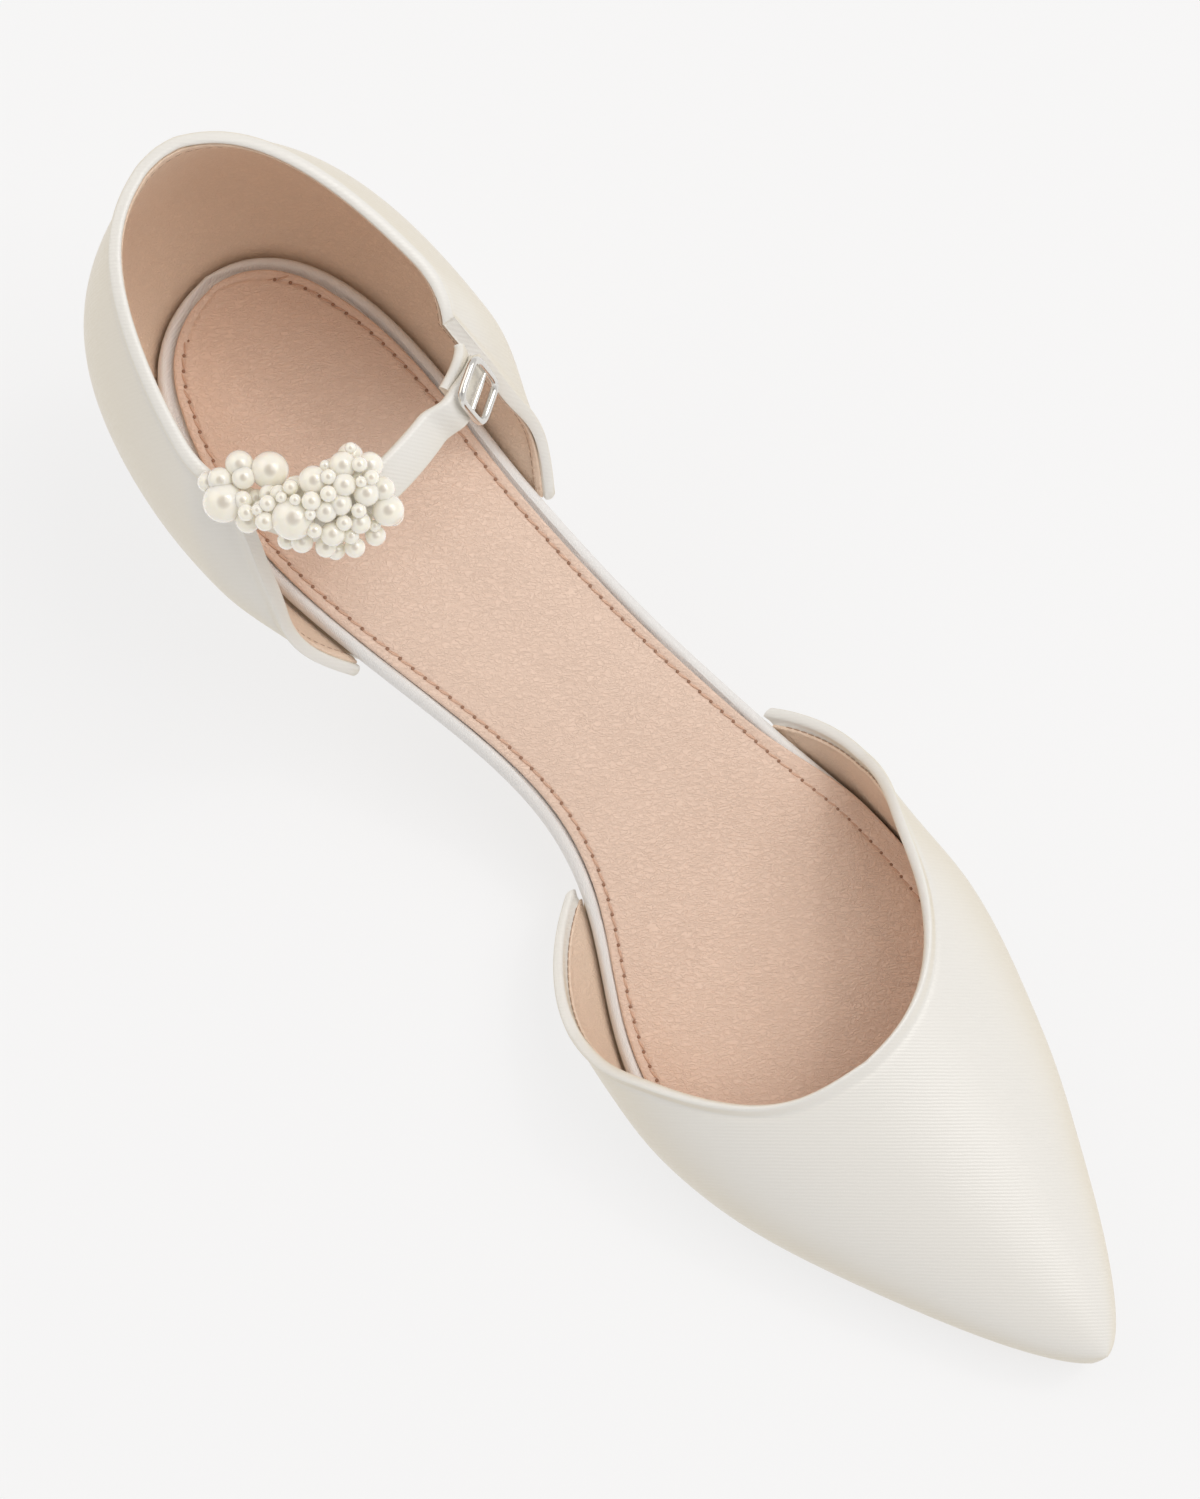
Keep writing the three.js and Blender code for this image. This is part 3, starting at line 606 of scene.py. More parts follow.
def heel_loop_point(up, upright, z_low):
    """On one of the heel's upright rows, a share of the way up to the sole."""
    turn = math.tau * (upright % HEEL_COLUMNS) / HEEL_COLUMNS
    back, front = heel_back(up), heel_front(up)
    seat = clamp(heel_seat(up))
    side = side_of(math.sin(turn))
    along = (1 - math.cos(turn)) / 2
    x = lerp(back, front, along ** HEEL_SPACING)
    sine = abs(math.sin(turn))
    plain = heel_half(up) * sine ** lerp(1, HEEL_SQUARE, along)
    full = outsole_half(side, min(x, front)) * sine ** (SEAT_SQUARE * along)
    y = lerp(HEEL_CENTRE_Y, 0, seat) + math.copysign(lerp(plain, full, seat), math.sin(turn))
    return Vector((x, y, lerp(z_low, sole_bottom(x) - HEEL_GAP, up)))


def capped(bm):
    """Closes the open ends of a tube or a block."""
    bmesh.ops.remove_doubles(bm, verts=bm.verts, dist=WELD)
    bmesh.ops.holes_fill(bm, edges=[e for e in bm.edges if e.is_boundary], sides=0)
    return bm


def swept(frames, section, count):
    """A tube through (middle, sideways, upward) frames: section(frame, corner) gives
    how far sideways and upward each of its count corners lies."""
    bm = bmesh.new()

    def corner(i, j):
        middle, sideways, upward = frames[i]
        a, b = section(i, j % count)
        return middle + sideways * a + upward * b

    grid_moved(bm, len(frames) - 1, count, corner)
    return capped(bm)


def soft_band(half_wide, half_thick, soft):
    """Section of a flat band with rounded edges, four points to a corner."""
    points = []
    for sx, sy, start in ((1, 1, 0), (-1, 1, 90), (-1, -1, 180), (1, -1, 270)):
        for k in range(4):
            a = math.radians(start + 30 * k)
            points.append((
                sx * (half_thick - soft) + soft * math.cos(a),
                sy * (half_wide - soft) + soft * math.sin(a),
            ))
    return points


# Materials

def tree_for(name):
    """A new material with its node tree, its shader and the place on the object."""
    made = bpy.data.materials.new(name)
    made.use_nodes = True
    made.node_tree.nodes.clear()
    shader = made.node_tree.nodes.new("ShaderNodeBsdfPrincipled")
    out = made.node_tree.nodes.new("ShaderNodeOutputMaterial")
    made.node_tree.links.new(shader.outputs["BSDF"], out.inputs["Surface"])
    here = made.node_tree.nodes.new("ShaderNodeTexCoord").outputs["Object"]
    return made, made.node_tree, shader, here


def feed(tree, which, **inputs):
    """Gives a node's sockets their constants or links. A socket goes by its name, with
    underscores for spaces, or by its number as i0, i1 and so on."""
    for key, value in inputs.items():
        numbered = key[0] == "i" and key[1:].isdigit()
        socket = which.inputs[int(key[1:]) if numbered else key.replace("_", " ")]
        if isinstance(value, bpy.types.NodeSocket):
            tree.links.new(value, socket)
        else:
            socket.default_value = value


def node(tree, kind, settings=None, **inputs):
    """Adds a node: settings are its own properties, inputs are for feed."""
    made = tree.nodes.new(kind)
    for key, value in (settings or {}).items():
        setattr(made, key, value)
    feed(tree, made, **inputs)
    return made


def noise(tree, here, scale, detail=2.0, **inputs):
    """Clouds of a value around a half, about scale of them to a metre."""
    made = node(
        tree, "ShaderNodeTexNoise", Vector=here, Scale=scale, Detail=detail, **inputs
    )
    return made.outputs["Fac"]


def ranged(tree, value, low, high, to_low=0.0, to_high=1.0, soft=False):
    """Brings a value from the range low to high into another."""
    settings = {"interpolation_type": "SMOOTHSTEP"} if soft else None
    made = node(
        tree, "ShaderNodeMapRange", settings, Value=value,
        From_Min=low, From_Max=high, To_Min=to_low, To_Max=to_high,
    )
    return made.outputs["Result"]


def maths(tree, operation, a, b=0.0):
    made = node(tree, "ShaderNodeMath", {"operation": operation}, i0=a, i1=b)
    return made.outputs[0]


def blended(tree, factor, a, b):
    """A mix of two colours, each a value or a link."""
    made = node(tree, "ShaderNodeMix", {"data_type": "RGBA"}, i0=factor, i6=a, i7=b)
    return made.outputs[2]


def darker(colour, share):
    return (*[part * share for part in colour[:3]], 1)


def group(name, inputs, outputs):
    """A node group's tree with its input and output nodes."""
    tree = bpy.data.node_groups.new(name, "ShaderNodeTree")
    for label, kind, default in inputs:
        socket = tree.interface.new_socket(label, in_out="INPUT", socket_type=kind)
        if default is not None:
            socket.default_value = default
    for label, kind in outputs:
        tree.interface.new_socket(label, in_out="OUTPUT", socket_type=kind)
    return tree, tree.nodes.new("NodeGroupInput"), tree.nodes.new("NodeGroupOutput")


def ribbed_cloth_group():
    """Fine ribs of a cloth, a little uneven, from a direction and a pitch."""
    tree, given, out = group(
        "ribbed cloth",
        [("Vector", "NodeSocketVector", None), ("Across", "NodeSocketVector", (1, 0, 0)),
         ("Pitch", "NodeSocketFloat", 0.0006), ("Slub", "NodeSocketFloat", 0.5)],
        [("Height", "NodeSocketFloat"), ("Slubs", "NodeSocketFloat")],
    )
    here = given.outputs["Vector"]
    waver = noise(tree, here, 180.0)
    dot = node(
        tree, "ShaderNodeVectorMath", {"operation": "DOT_PRODUCT"},
        i0=here, i1=given.outputs["Across"],
    )
    turns = maths(tree, "DIVIDE", dot.outputs["Value"], given.outputs["Pitch"])
    turns = maths(tree, "ADD", turns, maths(tree, "MULTIPLY", waver, given.outputs["Slub"]))
    rib = maths(tree, "SINE", maths(tree, "MULTIPLY", turns, math.tau))
    rib = maths(tree, "ADD", maths(tree, "MULTIPLY", rib, 0.5), 0.5)
    yarn = noise(tree, here, 5200.0, 1.0)
    height = maths(tree, "ADD", rib, maths(tree, "MULTIPLY", yarn, 0.9))
    feed(tree, out, Height=height, Slubs=noise(tree, here, 900.0))
    return tree


def hide_grain_group():
    """Grain of a soft leather: fine creases drawn out one way, shallow cells and a tone."""
    tree, given, out = group(
        "hide grain",
        [("Vector", "NodeSocketVector", None), ("Fineness", "NodeSocketFloat", 1300.0)],
        [("Height", "NodeSocketFloat"), ("Tone", "NodeSocketFloat")],
    )
    here, fineness = given.outputs["Vector"], given.outputs["Fineness"]
    drawn = node(
        tree, "ShaderNodeMapping", {"vector_type": "TEXTURE"},
        Vector=here, Rotation=(0, 0, 0.863), Scale=(1.9, 1, 1),
    ).outputs["Vector"]
    wander = noise(tree, drawn, fineness, Distortion=0.6)
    crease = maths(tree, "ABSOLUTE", maths(tree, "SUBTRACT", wander, 0.5))
    smoothed = ranged(tree, crease, 0.0, 0.13, soft=True)
    cells = node(
        tree, "ShaderNodeTexVoronoi", {"feature": "SMOOTH_F1"}, Vector=drawn,
        Scale=maths(tree, "MULTIPLY", fineness, 0.62),
    ).outputs["Distance"]
    height = maths(tree, "SUBTRACT", smoothed, maths(tree, "MULTIPLY", cells, 0.7))
    feed(tree, out, Height=height, Tone=noise(tree, here, 38.0, 3.0))
    return tree


RIBS = ribbed_cloth_group()
GRAIN = hide_grain_group()


def facing(tree):
    """0 where a surface faces the eye, 1 where it turns away."""
    return node(tree, "ShaderNodeLayerWeight", Blend=0.5).outputs["Facing"]


def use_group(tree, which, **inputs):
    return node(tree, "ShaderNodeGroup", {"node_tree": which}, **inputs).outputs


def bump(tree, height, strength, distance, **normal):
    made = node(
        tree, "ShaderNodeBump", Height=height, Strength=strength, Distance=distance, **normal
    )
    return made.outputs["Normal"]


def satin(name, light, deep, across, pitch, rib_depth, rib_tone):
    """Satin cloth with fine ribs: light where it faces the eye, deep and warm where it turns
    away, which is painted shade.
    """
    made, tree, shader, here = tree_for(name)
    cloth = use_group(tree, RIBS, Vector=here, Across=across, Pitch=pitch)
    cloud = maths(tree, "MULTIPLY", noise(tree, here, 16.0), 0.2)
    # Painted shade: the colour darkens and warms as the cloth turns away from the eye.
    tone = ranged(tree, maths(tree, "ADD", facing(tree), cloud), 0.3, 1.0, soft=True)
    ribbing = maths(tree, "MULTIPLY", cloth["Height"], rib_tone)
    feed(
        tree, shader,
        Base_Color=blended(tree, ribbing, blended(tree, tone, light, deep), darker(deep, 0.72)),
        Roughness=ranged(tree, cloth["Slubs"], 0.3, 0.7, 0.3, 0.39),
        Normal=bump(tree, cloth["Height"], 0.3, rib_depth),
        Sheen_Weight=0.2, Sheen_Roughness=0.45, Specular_IOR_Level=0.7,
    )
    return made


def leather(name, light, deep, depth, roughness):
    """Soft nude leather with fine grain and a slow, cloudy tone."""
    made, tree, shader, here = tree_for(name)
    grain = use_group(tree, GRAIN, Vector=here, Fineness=1500.0)
    pits = ranged(tree, grain["Height"], -0.3, 0.7, 0.12, 0.0)
    clouded = blended(tree, grain["Tone"], light, deep)
    creases = bump(tree, noise(tree, here, 70.0), 0.4, 0.0012)
    feed(
        tree, shader,
        Base_Color=blended(tree, pits, clouded, darker(deep, 0.7)),
        Roughness=ranged(tree, grain["Height"], -0.4, 1.0, roughness + 0.08, roughness - 0.05),
        Normal=bump(tree, grain["Height"], 0.65, depth, Normal=creases),
        Specular_IOR_Level=0.4,
    )
    return made


def thread(name, light, deep):
    made, tree, shader, here = tree_for(name)
    twist = noise(tree, here, 2400.0, 1.0)
    feed(
        tree, shader, Base_Color=blended(tree, twist, light, deep),
        Normal=bump(tree, twist, 0.6, 0.0001), Roughness=0.6,
    )
    return made


def pearl_lustre():
    """Pearl: a cream body under a clear skin, with a painted grey reflection where it faces the
    eye, rosy at its outline, and a faint painted glow.
    """
    made, tree, shader, here = tree_for("pearl lustre")
    cloud = noise(tree, here, 260.0)
    body = blended(tree, cloud, (0.83, 0.79, 0.68, 1), (0.88, 0.85, 0.78, 1))
    turned = facing(tree)
    # Painted reflection: grey where the pearl faces the eye, for the dim room above mirrored in
    # it.
    painted_eye_reflection = ranged(tree, turned, 0.0, 0.085, soft=True)
    outline = ranged(tree, turned, 0.3, 0.9)
    colour = blended(tree, painted_eye_reflection, (0.6, 0.55, 0.48, 1), body)
    feed(
        tree, shader,
        Base_Color=blended(tree, outline, colour, (0.9, 0.85, 0.8, 1)),
        Roughness=ranged(tree, cloud, 0.3, 0.7, 0.1, 0.18),
        Normal=bump(tree, noise(tree, here, 700.0), 0.12, 0.0001),
        Coat_Weight=1.0, Coat_Roughness=0.04, Specular_IOR_Level=0.7,
        Subsurface_Weight=0.5, Subsurface_Radius=(0.0026, 0.0023, 0.0016),
        # The faint cream glow is painted light that fills the shade between the pearls.
        Subsurface_Scale=1.0, Emission_Color=(1.0, 0.93, 0.74, 1), Emission_Strength=0.07,
    )
    return made


def pale_metal():
    made, tree, shader, here = tree_for("pale polished metal")
    haze = noise(tree, here, 900.0, 3.0)
    feed(
        tree, shader,
        Base_Color=blended(tree, haze, (0.82, 0.8, 0.76, 1), (0.72, 0.7, 0.66, 1)),
        Roughness=ranged(tree, haze, 0.3, 0.7, 0.14, 0.26), Metallic=1.0,
    )
    return made


def sole_leather(name, light, deep, roughness, paint=None):
    """Smooth sole leather, rubbed and faintly streaked, its edge painted if paint is given."""
    made, tree, shader, here = tree_for(name)
    streaks = node(
        tree, "ShaderNodeVectorMath", {"operation": "MULTIPLY"}, i0=here, i1=(0.2, 1, 1)
    )
    rubbed = noise(tree, streaks.outputs[0], 240.0, 4.0)
    colour = blended(tree, rubbed, light, deep)
    if paint:
        faces = tree.nodes.new("ShaderNodeTexCoord").outputs["Normal"]
        upright = node(tree, "ShaderNodeSeparateXYZ", Vector=faces).outputs["Z"]
        tread = ranged(tree, maths(tree, "ABSOLUTE", upright), 0.5, 0.7)
        colour = blended(tree, tread, blended(tree, rubbed, paint, darker(paint, 0.94)), colour)
    grain = use_group(tree, GRAIN, Vector=here, Fineness=1400.0)
    feed(
        tree, shader, Base_Color=colour,
        Roughness=ranged(tree, rubbed, 0.3, 0.7, roughness - 0.08, roughness + 0.1),
        Normal=bump(tree, grain["Height"], 0.25, 0.00008),
    )
    return made


# The second colour of each satin is its painted shade where it turns away from the eye.
upper_satin = satin(
    "ivory satin", (0.82, 0.8, 0.755, 1), (0.74, 0.67, 0.535, 1),
    across=(-0.76, 0.65, 0.15), pitch=0.00062, rib_depth=0.00007, rib_tone=0.022,
)
rim_satin = satin(
    "white ribbed satin", (0.88, 0.86, 0.835, 1), (0.84, 0.81, 0.775, 1),
    across=(0.94, 0.34, 0.0), pitch=0.00036, rib_depth=0.0004, rib_tone=0.09,
)
sock_leather = leather(
    "nude sock leather", (0.88, 0.665, 0.535, 1), (0.85, 0.63, 0.5, 1),
    depth=0.00015, roughness=0.5,
)
lining_leather = leather(
    "nude lining leather", (0.89, 0.7, 0.55, 1), (0.85, 0.65, 0.5, 1),
    depth=0.00012, roughness=0.52,
)
tan_thread = thread("tan thread", (0.5, 0.34, 0.24, 1), (0.42, 0.27, 0.18, 1))
sock_thread = thread("pale tan thread", (0.72, 0.47, 0.34, 1), (0.62, 0.38, 0.26, 1))
# Dark brown for the thread knots, deepened as painted shade of the needle holes.
knot_and_hole_shade = thread("thread knot and painted hole shade", (0.4, 0.22, 0.14, 1), (0.28, 0.14, 0.08, 1))
tread_leather = sole_leather(
    "tan sole leather", (0.6, 0.47, 0.33, 1), (0.53, 0.4, 0.27, 1), roughness=0.48,
    paint=(0.8, 0.78, 0.72, 1),
)
tip_rubber = sole_leather(
    "tan tip rubber", (0.45, 0.34, 0.24, 1), (0.38, 0.28, 0.19, 1), roughness=0.62
)
pearl = pearl_lustre()
metal = pale_metal()


# Sole, insole rim and sock

def sock_rise(x, inside, side):
    """A soft pad: dished under the heel and the ball, with a stitched groove."""
    groove = -GROOVE_DEEP * hump(inside - SEAM_IN - sock_lap(side, x), 0, GROOVE_SPREAD)
    cushion = CUSHION_RISE * smooth(*CUSHION_EDGE, inside) * smooth(*CUSHION_BACK, x)
    return groove + cushion - DISH_DEEP * smooth(*DISH_EDGE, inside)


def rim_rise(x, inside, side):
    """The satin is rolled over a cord at the edge and lies flat under the sock."""
    roll = math.sqrt(1 - (1 - clamp(inside / RIM_CORNER)) ** 2)
    flat = max(smooth(*RIM_FLATTENS, inside), sock_lap(side, x) / SOCK_LAP)
    return RIM_ROLL * roll * (1 - flat)


def sock_top(x):
    return insole_top(x) + SEAT_GAP + SOCK_THICKNESS


piece("outsole", plate(
    outsole_half, -OUTSOLE_GROWTH, INSOLE_LENGTH + OUTSOLE_GROWTH, sole_bottom,
    lambda x: sole_bottom(x) + OUTSOLE_THICKNESS, corner=0.6, columns=28, stations=170,
), tread_leather, ("outsole",))
piece("insole_rim", plate(
    insole_half, 0, INSOLE_LENGTH, lambda x: feather_z(x) - HEM_DROP, insole_top,
    corner=RIM_CORNER, columns=60, stations=200, shape=rim_rise,
), rim_satin, ("insole",))
piece("sock", plate(
    sock_half, SOCK_INSET, INSOLE_LENGTH - SOCK_INSET, lambda x: insole_top(x) - 0.05,
    sock_top, corner=0.55, columns=84, stations=260, shape=sock_rise,
), sock_leather, ("sock",))

# Upper: satin outside, nude lining inside. The satin's rounded edge is half as thick
# as the satin, so its faces start that far in.
SATIN_IN = SATIN_THICKNESS / 2
piece("vamp_satin", wall(
    vamp_face(SATIN_IN), 0.0, SATIN_THICKNESS, columns=128, rows=96, sides_free=False
), upper_satin, ("vamp",))
piece("vamp_lining", wall(
    vamp_face(FOLD_WIDTH), LINING_START, LINING_THICKNESS, columns=112, rows=80,
    sides_free=False,
), lining_leather)
piece("quarter_satin", wall(
    quarter_face(SATIN_IN, SATIN_IN), 0.0, SATIN_THICKNESS, columns=150, rows=60,
    sides_free=True,
), upper_satin, ("quarter",))
piece("quarter_lining", wall(
    quarter_face(QUARTER_LINING_IN, QUARTER_LINING_IN), LINING_START, LINING_THICKNESS,
    columns=130, rows=50, sides_free=True,
), lining_leather)

# Heel block and top piece
heel = bmesh.new()
grid_moved(
    heel, HEEL_COLUMNS, HEEL_ROWS,
    lambda i, j: heel_loop_point(j / HEEL_ROWS, i, TOP_PIECE_HEIGHT + HEEL_GAP),
)
piece("heel_cover", capped(heel), upper_satin, ("heel",))


def tip_corner(i, j):
    z, drawn_in = TIP_ROWS[j]
    edge = heel_loop_point(0, i, 0)
    edge.z = 0
    inward = (Vector((HEEL_TIP_X, HEEL_CENTRE_Y, 0)) - edge).normalized() * drawn_in
    return edge + inward + Vector((0, 0, z))


tip = bmesh.new()
grid_moved(tip, HEEL_COLUMNS, len(TIP_ROWS) - 1, tip_corner)
piece("top_piece", capped(tip), tip_rubber, ("top_piece",))

# Strap, its tab and its buckle
band = soft_band(STRAP_WIDTH / 2, STRAP_THICKNESS / 2, STRAP_SOFT)


def strap_frames(first, last, steps, offset=lambda angle: 0.0):
    """Frames along the strap, pushed outward by offset(angle)."""
    frames = []
    for i in range(steps + 1):
        angle = lerp(first, last, i / steps)
        middle, out, up, _ = strap_frame(angle)
        frames.append((middle + out * offset(angle), out, up))
    return frames


def tail_offset(angle):
    """The tail lies over the tab."""
    return (STRAP_THICKNESS + SEAT_GAP) * smooth(TAIL_RISE, TAIL_OVER, angle)


def pointed(i, j):
    """The tail of the strap narrows to a rounded point."""
    a, b = band[j]
    left = 1 - i / STRAP_STEPS
    return a, b * math.sqrt(clamp(left * POINT_PART)) if left < 1 / POINT_PART else b


tail_frames = strap_frames(-STRAP_BASE, TAIL_END, STRAP_STEPS, tail_offset)
piece(
    "ankle_strap", swept(tail_frames, pointed, len(band)), upper_satin,
    ("ankle_strap",),
)
tab_frames = strap_frames(TAB_START, TAB_END, TAB_STEPS)
piece(
    "strap_tab", swept(tab_frames, lambda i, j: band[j], len(band)), upper_satin,
    ("strap_tab",),
)

strap_middle, outward, upward, ahead = strap_frame(BUCKLE_ANGLE)
buckle_middle = strap_middle + outward * (
    STRAP_THICKNESS * 1.5 + 2 * SEAT_GAP + BUCKLE_CLEAR
)


def buckle_path(t):
    """Middle line of the buckle's wire, once round for t from 0 to 1."""
    wide = BUCKLE_LONG / 2 - BUCKLE_WIRE
    tall = BUCKLE_TALL / 2 - BUCKLE_WIRE
    a = math.tau * t
    along = math.copysign(abs(math.cos(a)) ** BUCKLE_SQUARE, math.cos(a)) * wide
    rise = math.copysign(abs(math.sin(a)) ** BUCKLE_SQUARE, math.sin(a)) * tall
    return buckle_middle + ahead * along + upward * rise


def wire_corner(i, j):
    here = buckle_path((i % WIRE_STEPS) / WIRE_STEPS)
    line = buckle_path((i + 0.5) / WIRE_STEPS) - buckle_path((i - 0.5) / WIRE_STEPS)
    side = outward.cross(line.normalized()).normalized()
    a = math.tau * (j % WIRE_SIDES) / WIRE_SIDES
    return here + (outward * math.cos(a) + side * math.sin(a)) * BUCKLE_WIRE


def prong_section(i, j):
    """Round, and thinner towards its tip."""
    a = math.tau * j / PRONG_SIDES
    thin = clamp(1.6 - i / PRONG_STEPS, 0.6, 1)
    return PRONG_RADIUS * math.cos(a) * thin, PRONG_RADIUS * math.sin(a) * thin


buckle = bmesh.new()
grid_moved(buckle, WIRE_STEPS, WIRE_SIDES, wire_corner)
prong_reach = BUCKLE_LONG / 2 - BUCKLE_WIRE
prong = swept([
    (buckle_middle + ahead * lerp(-prong_reach, prong_reach, i / PRONG_STEPS), outward, upward)
    for i in range(PRONG_STEPS + 1)
], prong_section, PRONG_SIDES)
buckle.from_mesh(mesh_from("prong", prong))
piece("buckle", buckle, metal, ("buckle",))

# The heap of pearls: its middle, then half its depth and height, then its ends
PEARL_OUTWARD, PEARL_SPILL, PEARL_RAISED = 1.0, 3.0, 2.4
PEARL_DEEP, PEARL_TALL, PEARL_SINK = 5.8, 8.8, 0.75
PEARL_FIRST, PEARL_LAST = -86.0, 5.0
# Lowest and highest turn round the strap, the lowest rising towards the quarter
LOWEST_TURN, HIGHEST_TURN = -62.0, 175
RISEN_TURN, RISEN_ANGLE, TURN_PER_DEGREE = 60, 62, 3
# Radius of the small pearls and how many times each is tried
PEARL_SIZES = ((2.7, 90), (2.2, 900), (1.8, 2200), (1.4, 3000), (1.05, 1500))
PEARL_VARIES, PEARL_LAYERS, PEARL_CLOSE = (0.92, 1.06), (1.0, 1.0, 0.6), 0.84
BIG_PEARL = 2.5
# Pearls listed one by one: angle round the strap, how far out and up from its middle, radius
SET_PEARLS = [
    (-79, 3.6, 7.8, 3.5), (-65, -4.0, 9.8, 3.2), (-41, 4.0, 5.6, 3.65),
    (-26, 0.5, 9.5, 2.5), (1, 5.6, -0.6, 2.7), (4, 4.6, 2.8, 2.1),
    (-2, 4.6, 4.2, 2.2), (-8, 3.5, 7.5, 2.0), (-14, 4.2, 5.2, 2.0),
    (-22, 4.5, 5.5, 1.9), (-10, 5.2, 0.5, 1.9), (-22, 5.4, 1.2, 2.1),
    (-7, 4.6, -4.0, 1.8), (-15.5, 4.8, -3.8, 1.8), (-26, 5.2, -1.2, 1.8),
    (-36, 5.2, 0.9, 1.9), (-44, 4.8, 1.0, 1.6), (-60, 3.2, 8.0, 1.6), (-53, 1.2, 9.6, 1.5),
    (-46, 1.0, 10.6, 1.3), (-3, 1.2, 9.2, 2.3), (6, 2.4, 6.6, 2.3),
    (-86, 1.5, 9.5, 2.2), (-84, -2.5, 10.5, 2.4), (-76, -1.0, 10.6, 2.0),
    (-90, 3.0, 8.5, 1.8), (-71, 2.2, 9.4, 1.6),
]


def pearl_place(angle, turn, radius, share):
    """On the heap's outer layer where share is 1, nearer its middle where it is less."""
    middle, out, up, _ = strap_frame(angle)
    a = math.radians(turn)
    spill = PEARL_OUTWARD + PEARL_SPILL * (1 - strap_lift(angle)) ** 2
    deep = share * (PEARL_DEEP - radius * PEARL_SINK)
    tall = share * (PEARL_TALL - radius * PEARL_SINK)
    return (
        middle + out * (spill + deep * math.cos(a)) + up * (PEARL_RAISED + tall * math.sin(a))
    )


def set_pearl(angle, out_by, up_by, radius):
    middle, out, up, _ = strap_frame(angle)
    return middle + out * out_by + up * up_by, radius


def pearl_field():
    """The set pearls first, then smaller and smaller ones in what room is left."""
    rng = random.Random(11)
    pearls = [set_pearl(*row) for row in SET_PEARLS]
    for radius, tries in PEARL_SIZES:
        for _ in range(tries):
            size = radius * rng.uniform(*PEARL_VARIES)
            angle = rng.uniform(PEARL_FIRST, PEARL_LAST)
            lowest = max(LOWEST_TURN, RISEN_TURN - TURN_PER_DEGREE * (angle + RISEN_ANGLE))
            share = rng.choice(PEARL_LAYERS)
            spot = pearl_place(angle, rng.uniform(lowest, HIGHEST_TURN), size, share)
            if all((spot - other).length > PEARL_CLOSE * (size + near)
                   for other, near in pearls):
                pearls.append((spot, size))
    return pearls


heap = bmesh.new()
for spot, size in pearl_field():
    bmesh.ops.create_icosphere(
        heap, subdivisions=4 if size > BIG_PEARL else 3, radius=size,
        matrix=Matrix.Translation(spot),
    )
piece("pearl_cluster", heap, pearl, ("pearl_cluster",), weld=0)


# Stitching

def path_steps(points, pitch):
    """Places and directions at even steps along a line of points."""
    steps, carried = [], 0.0
    for a, b in zip(points, points[1:]):
        length = (b - a).length
        while carried <= length and length > 0:
            steps.append((a.lerp(b, carried / length), (b - a).normalized()))
            carried += pitch
        carried -= length
    return steps


def add_stitch(bm, middle, line, up, length, radius, flat, slant):
    """A short pulled thread: a ball drawn out along the seam and pressed flat."""
    side = up.cross(line).normalized()
    turned = (line * math.cos(slant) + side * math.sin(slant)).normalized()
    side = up.cross(turned).normalized()
    basis = Matrix((
        (*(turned * length / 2), 0), (*(side * radius), 0), (*(up * radius * flat), 0),
        (0, 0, 0, 1),
    )).transposed()
    basis.translation = middle
    bmesh.ops.create_icosphere(bm, subdivisions=2, radius=1.0, matrix=basis)


SOCK_PITCH = 2.95
SEAM_BACK, SEAM_FRONT, SEAM_SUNK = 9, 228, 0.12
# Behind SEAM_BACK the seam runs round the heel in an arc this deep
ARC_STEPS, ARC_DEEP = 12, 3.6


def sock_point(side, x):
    """On the stitch line, just inside the sock's edge."""
    step = 0.4
    slope = (sock_half(side, x + step) - sock_half(side, x - step)) / (2 * step)
    reach = sock_half(side, x) - (SEAM_IN + sock_lap(side, x)) * math.hypot(1, slope)
    return Vector((x, SIGN[side] * max(0.0, reach), sock_top(x) - SEAM_SUNK))


seam_points = [sock_point(MEDIAL, x) for x in range(SEAM_FRONT, SEAM_BACK - 1, -1)]
lateral_points = [sock_point(LATERAL, x) for x in range(SEAM_BACK, SEAM_FRONT + 1)]
back_points = []
for i in range(1, ARC_STEPS):
    t = i / ARC_STEPS
    back = seam_points[-1].lerp(lateral_points[0], t)
    back.x -= ARC_DEEP * math.sin(math.pi * t)
    back_points.append(back)
sock_threads, sock_knots_and_hole_shades = bmesh.new(), bmesh.new()
for place, line in path_steps(seam_points + back_points + lateral_points, SOCK_PITCH):
    up_here = (Vector((0, 0, 1)) - line * line.z).normalized()
    add_stitch(
        sock_threads, place + line * (SOCK_PITCH / 2), line, up_here,
        length=2.5, radius=0.22, flat=0.75, slant=0.18,
    )
    # A dark knot at each needle hole, its darkness partly painted shade of the hole.
    add_stitch(
        sock_knots_and_hole_shades, place + up_here * 0.04, line, up_here,
        length=0.72, radius=0.34, flat=0.5, slant=0.5,
    )
piece("sock_stitches", sock_threads, sock_thread, weld=0)
piece("sock_knots_painted_hole_shades", sock_knots_and_hole_shades, knot_and_hole_shade, weld=0)


def vamp_line(from_edge, inward):
    """Points along the top line of the vamp, a distance in from its edge."""
    face, half, hidden = vamp_face(from_edge), 200, 4
    return [face(i / half - 1, 0.0, inward) for i in range(hidden, 2 * half - hidden + 1)]


def quarter_line(from_edge, inward):
    """Points up one front edge of the quarter, along its top and down the other."""
    face, tall, half = quarter_face(from_edge, from_edge), 40, 100
    rise = [face(-1.0, j / tall, inward) for j in range(tall - 1, 0, -1)]
    top = [face(i / half, 0.0, inward) for i in range(-half, half + 1)]
    return rise + top + [face(1.0, j / tall, inward) for j in range(1, tall)]


def sewn_line(name, points, deeper, pitch, length, radius):
    """A line of stitches lying on the lining; deeper is the same line further in."""
    threads = bmesh.new()
    for place, line in path_steps(points, pitch):
        nearest = min(range(len(points)), key=lambda n: (points[n] - place).length_squared)
        up_here = (deeper[nearest] - points[nearest]).normalized()
        add_stitch(threads, place, line, up_here, length, radius, flat=0.7, slant=0.1)
    piece(name, threads, tan_thread, weld=0)


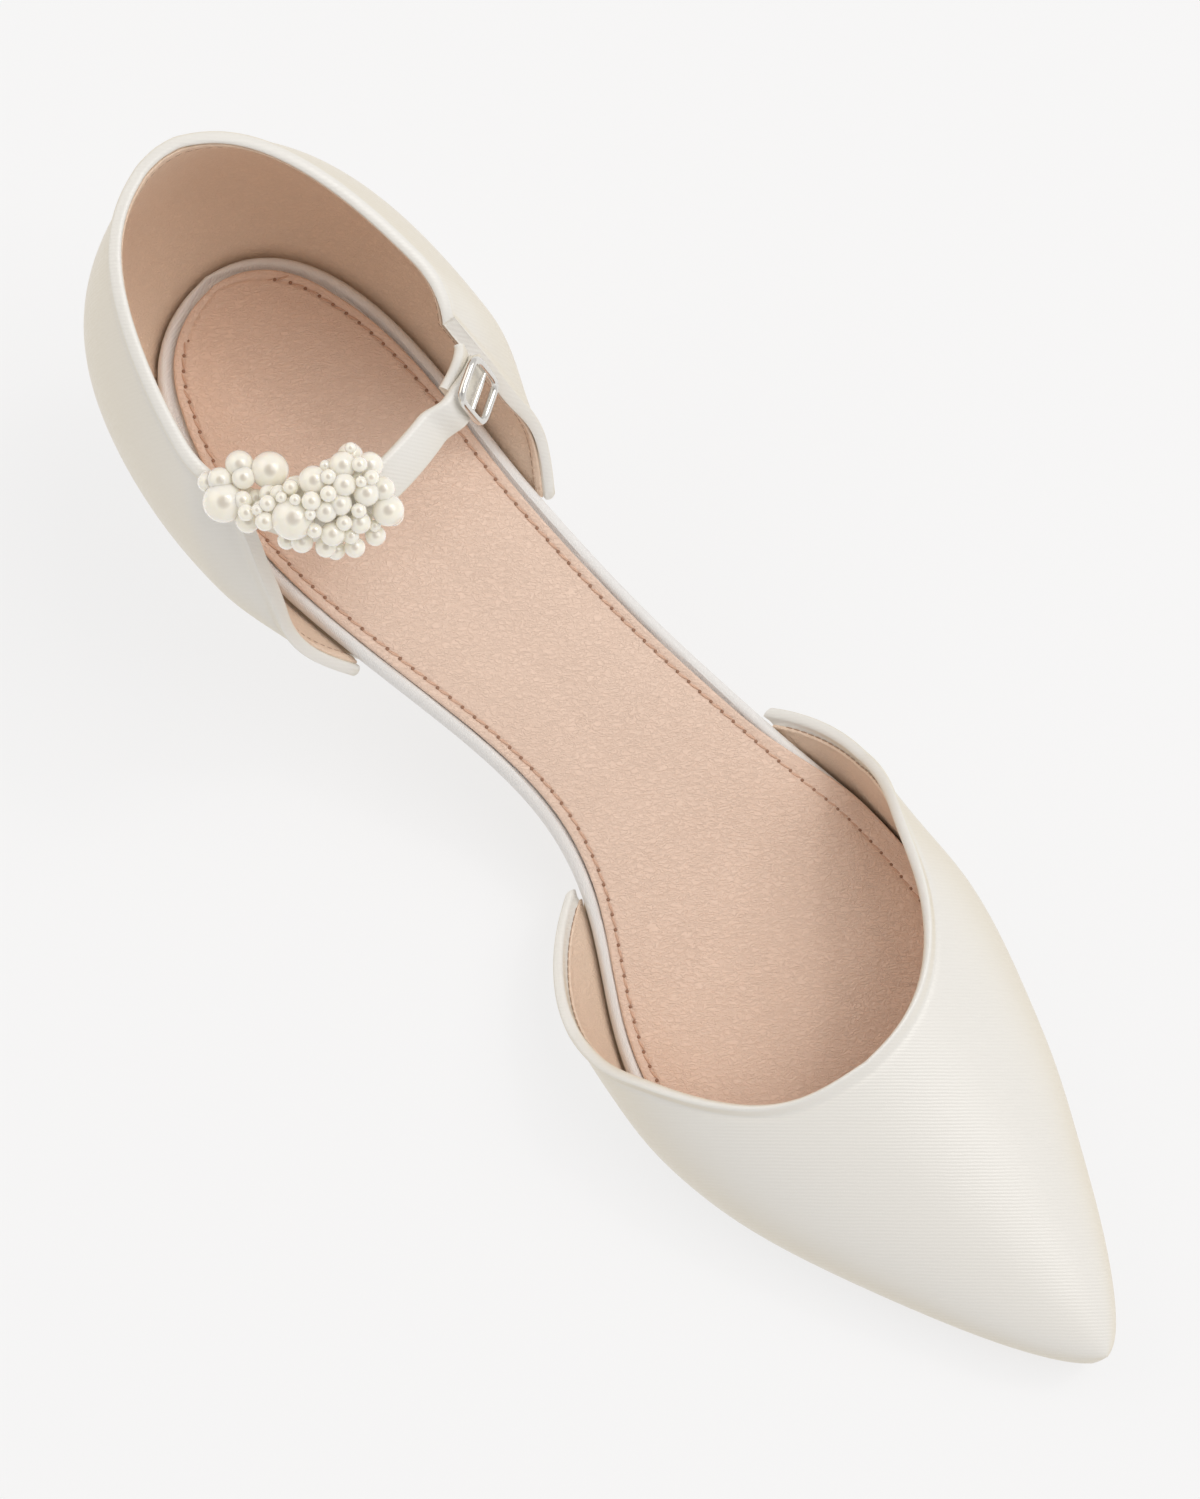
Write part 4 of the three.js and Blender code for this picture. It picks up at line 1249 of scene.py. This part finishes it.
sewn_line(
    "vamp_seam", vamp_line(2.2, 1.55), vamp_line(2.2, 2.55),
    pitch=1.5, length=1.45, radius=0.18,
)
sewn_line(
    "quarter_seam", quarter_line(2.9, 1.9), quarter_line(2.9, 2.9),
    pitch=1.8, length=1.5, radius=0.1,
)


# Floor, light and camera

def floor_material():
    """Pale and matt, with a glow of its own that keeps the shadows soft."""
    made, tree, shader, here = tree_for("pale floor")
    cloud = noise(tree, here, 2.0)
    feed(
        tree, shader,
        Base_Color=blended(tree, cloud, (0.198, 0.196, 0.196, 1), (0.203, 0.2, 0.202, 1)),
        Roughness=0.9, Specular_IOR_Level=0.1,
        Emission_Color=(1, 1, 1, 1), Emission_Strength=0.722,
    )
    return made


floor_mesh = bmesh.new()
bmesh.ops.create_grid(floor_mesh, x_segments=1, y_segments=1, size=6.0)
floor = placed("floor", mesh_from("floor", floor_mesh))
floor.data.materials.append(floor_material())

# The room is dimmer straight above, where the camera stands
world = bpy.data.worlds.new("soft white room")
bpy.context.scene.world = world
world.use_nodes = True
room = world.node_tree
looking = room.nodes.new("ShaderNodeTexCoord").outputs["Generated"]
towards = node(
    room, "ShaderNodeVectorMath", {"operation": "DOT_PRODUCT"},
    i0=looking, i1=(0.24, -0.16, 0.957),
).outputs["Value"]
dimmed = ranged(room, towards, 0.75, 1.0, 0.69, 0.32, soft=True)
feed(room, room.nodes["Background"], Color=(1.0, 0.985, 0.98, 1), Strength=dimmed)


def softbox(name, place, aim, size, energy, tint):
    """A square lamp, size metres wide, that faces its aim."""
    light = bpy.data.lights.new(name, "AREA")
    light.shape = "SQUARE"
    light.size = size
    light.energy = energy
    light.color = tint
    made = placed(name, light)
    made.location = place
    made.rotation_euler = (Vector(aim) - Vector(place)).to_track_quat("-Z", "Y").to_euler()


softbox("key light", (0.5, 0.75, 1.5), (0, 0, 0.03), 1.3, 11.0, (1, 0.99, 0.975))
softbox("small key", (0.25, 0.85, 1.4), (0, 0, 0.03), 0.2, 1.8, (1, 0.99, 0.98))
softbox("side fill", (-1.2, -0.6, 1.1), (0, 0, 0.04), 1.4, 4.5, (1.0, 0.91, 0.77))

CAMERA_PLACE = Vector((0.10141, -0.07718, 0.55969))
CAMERA_AIM = Vector((-0.01471, 0.00187, 0.02))
# The way that is level to the right in the photograph
LEVEL = Vector((0.65, 0.76, 0)).normalized()

lens = bpy.data.cameras.new("camera")
lens.lens = 71.13
lens.sensor_width = 36.0
lens.clip_start, lens.clip_end = 0.01, 50.0
camera = placed("camera", lens)
forward = (CAMERA_AIM - CAMERA_PLACE).normalized()
level = (LEVEL - forward * LEVEL.dot(forward)).normalized()
turn = Matrix((level, level.cross(forward), -forward)).transposed().to_4x4()
camera.matrix_world = Matrix.Translation(CAMERA_PLACE) @ turn
bpy.context.scene.camera = camera

bpy.context.scene.view_settings.view_transform = "Standard"
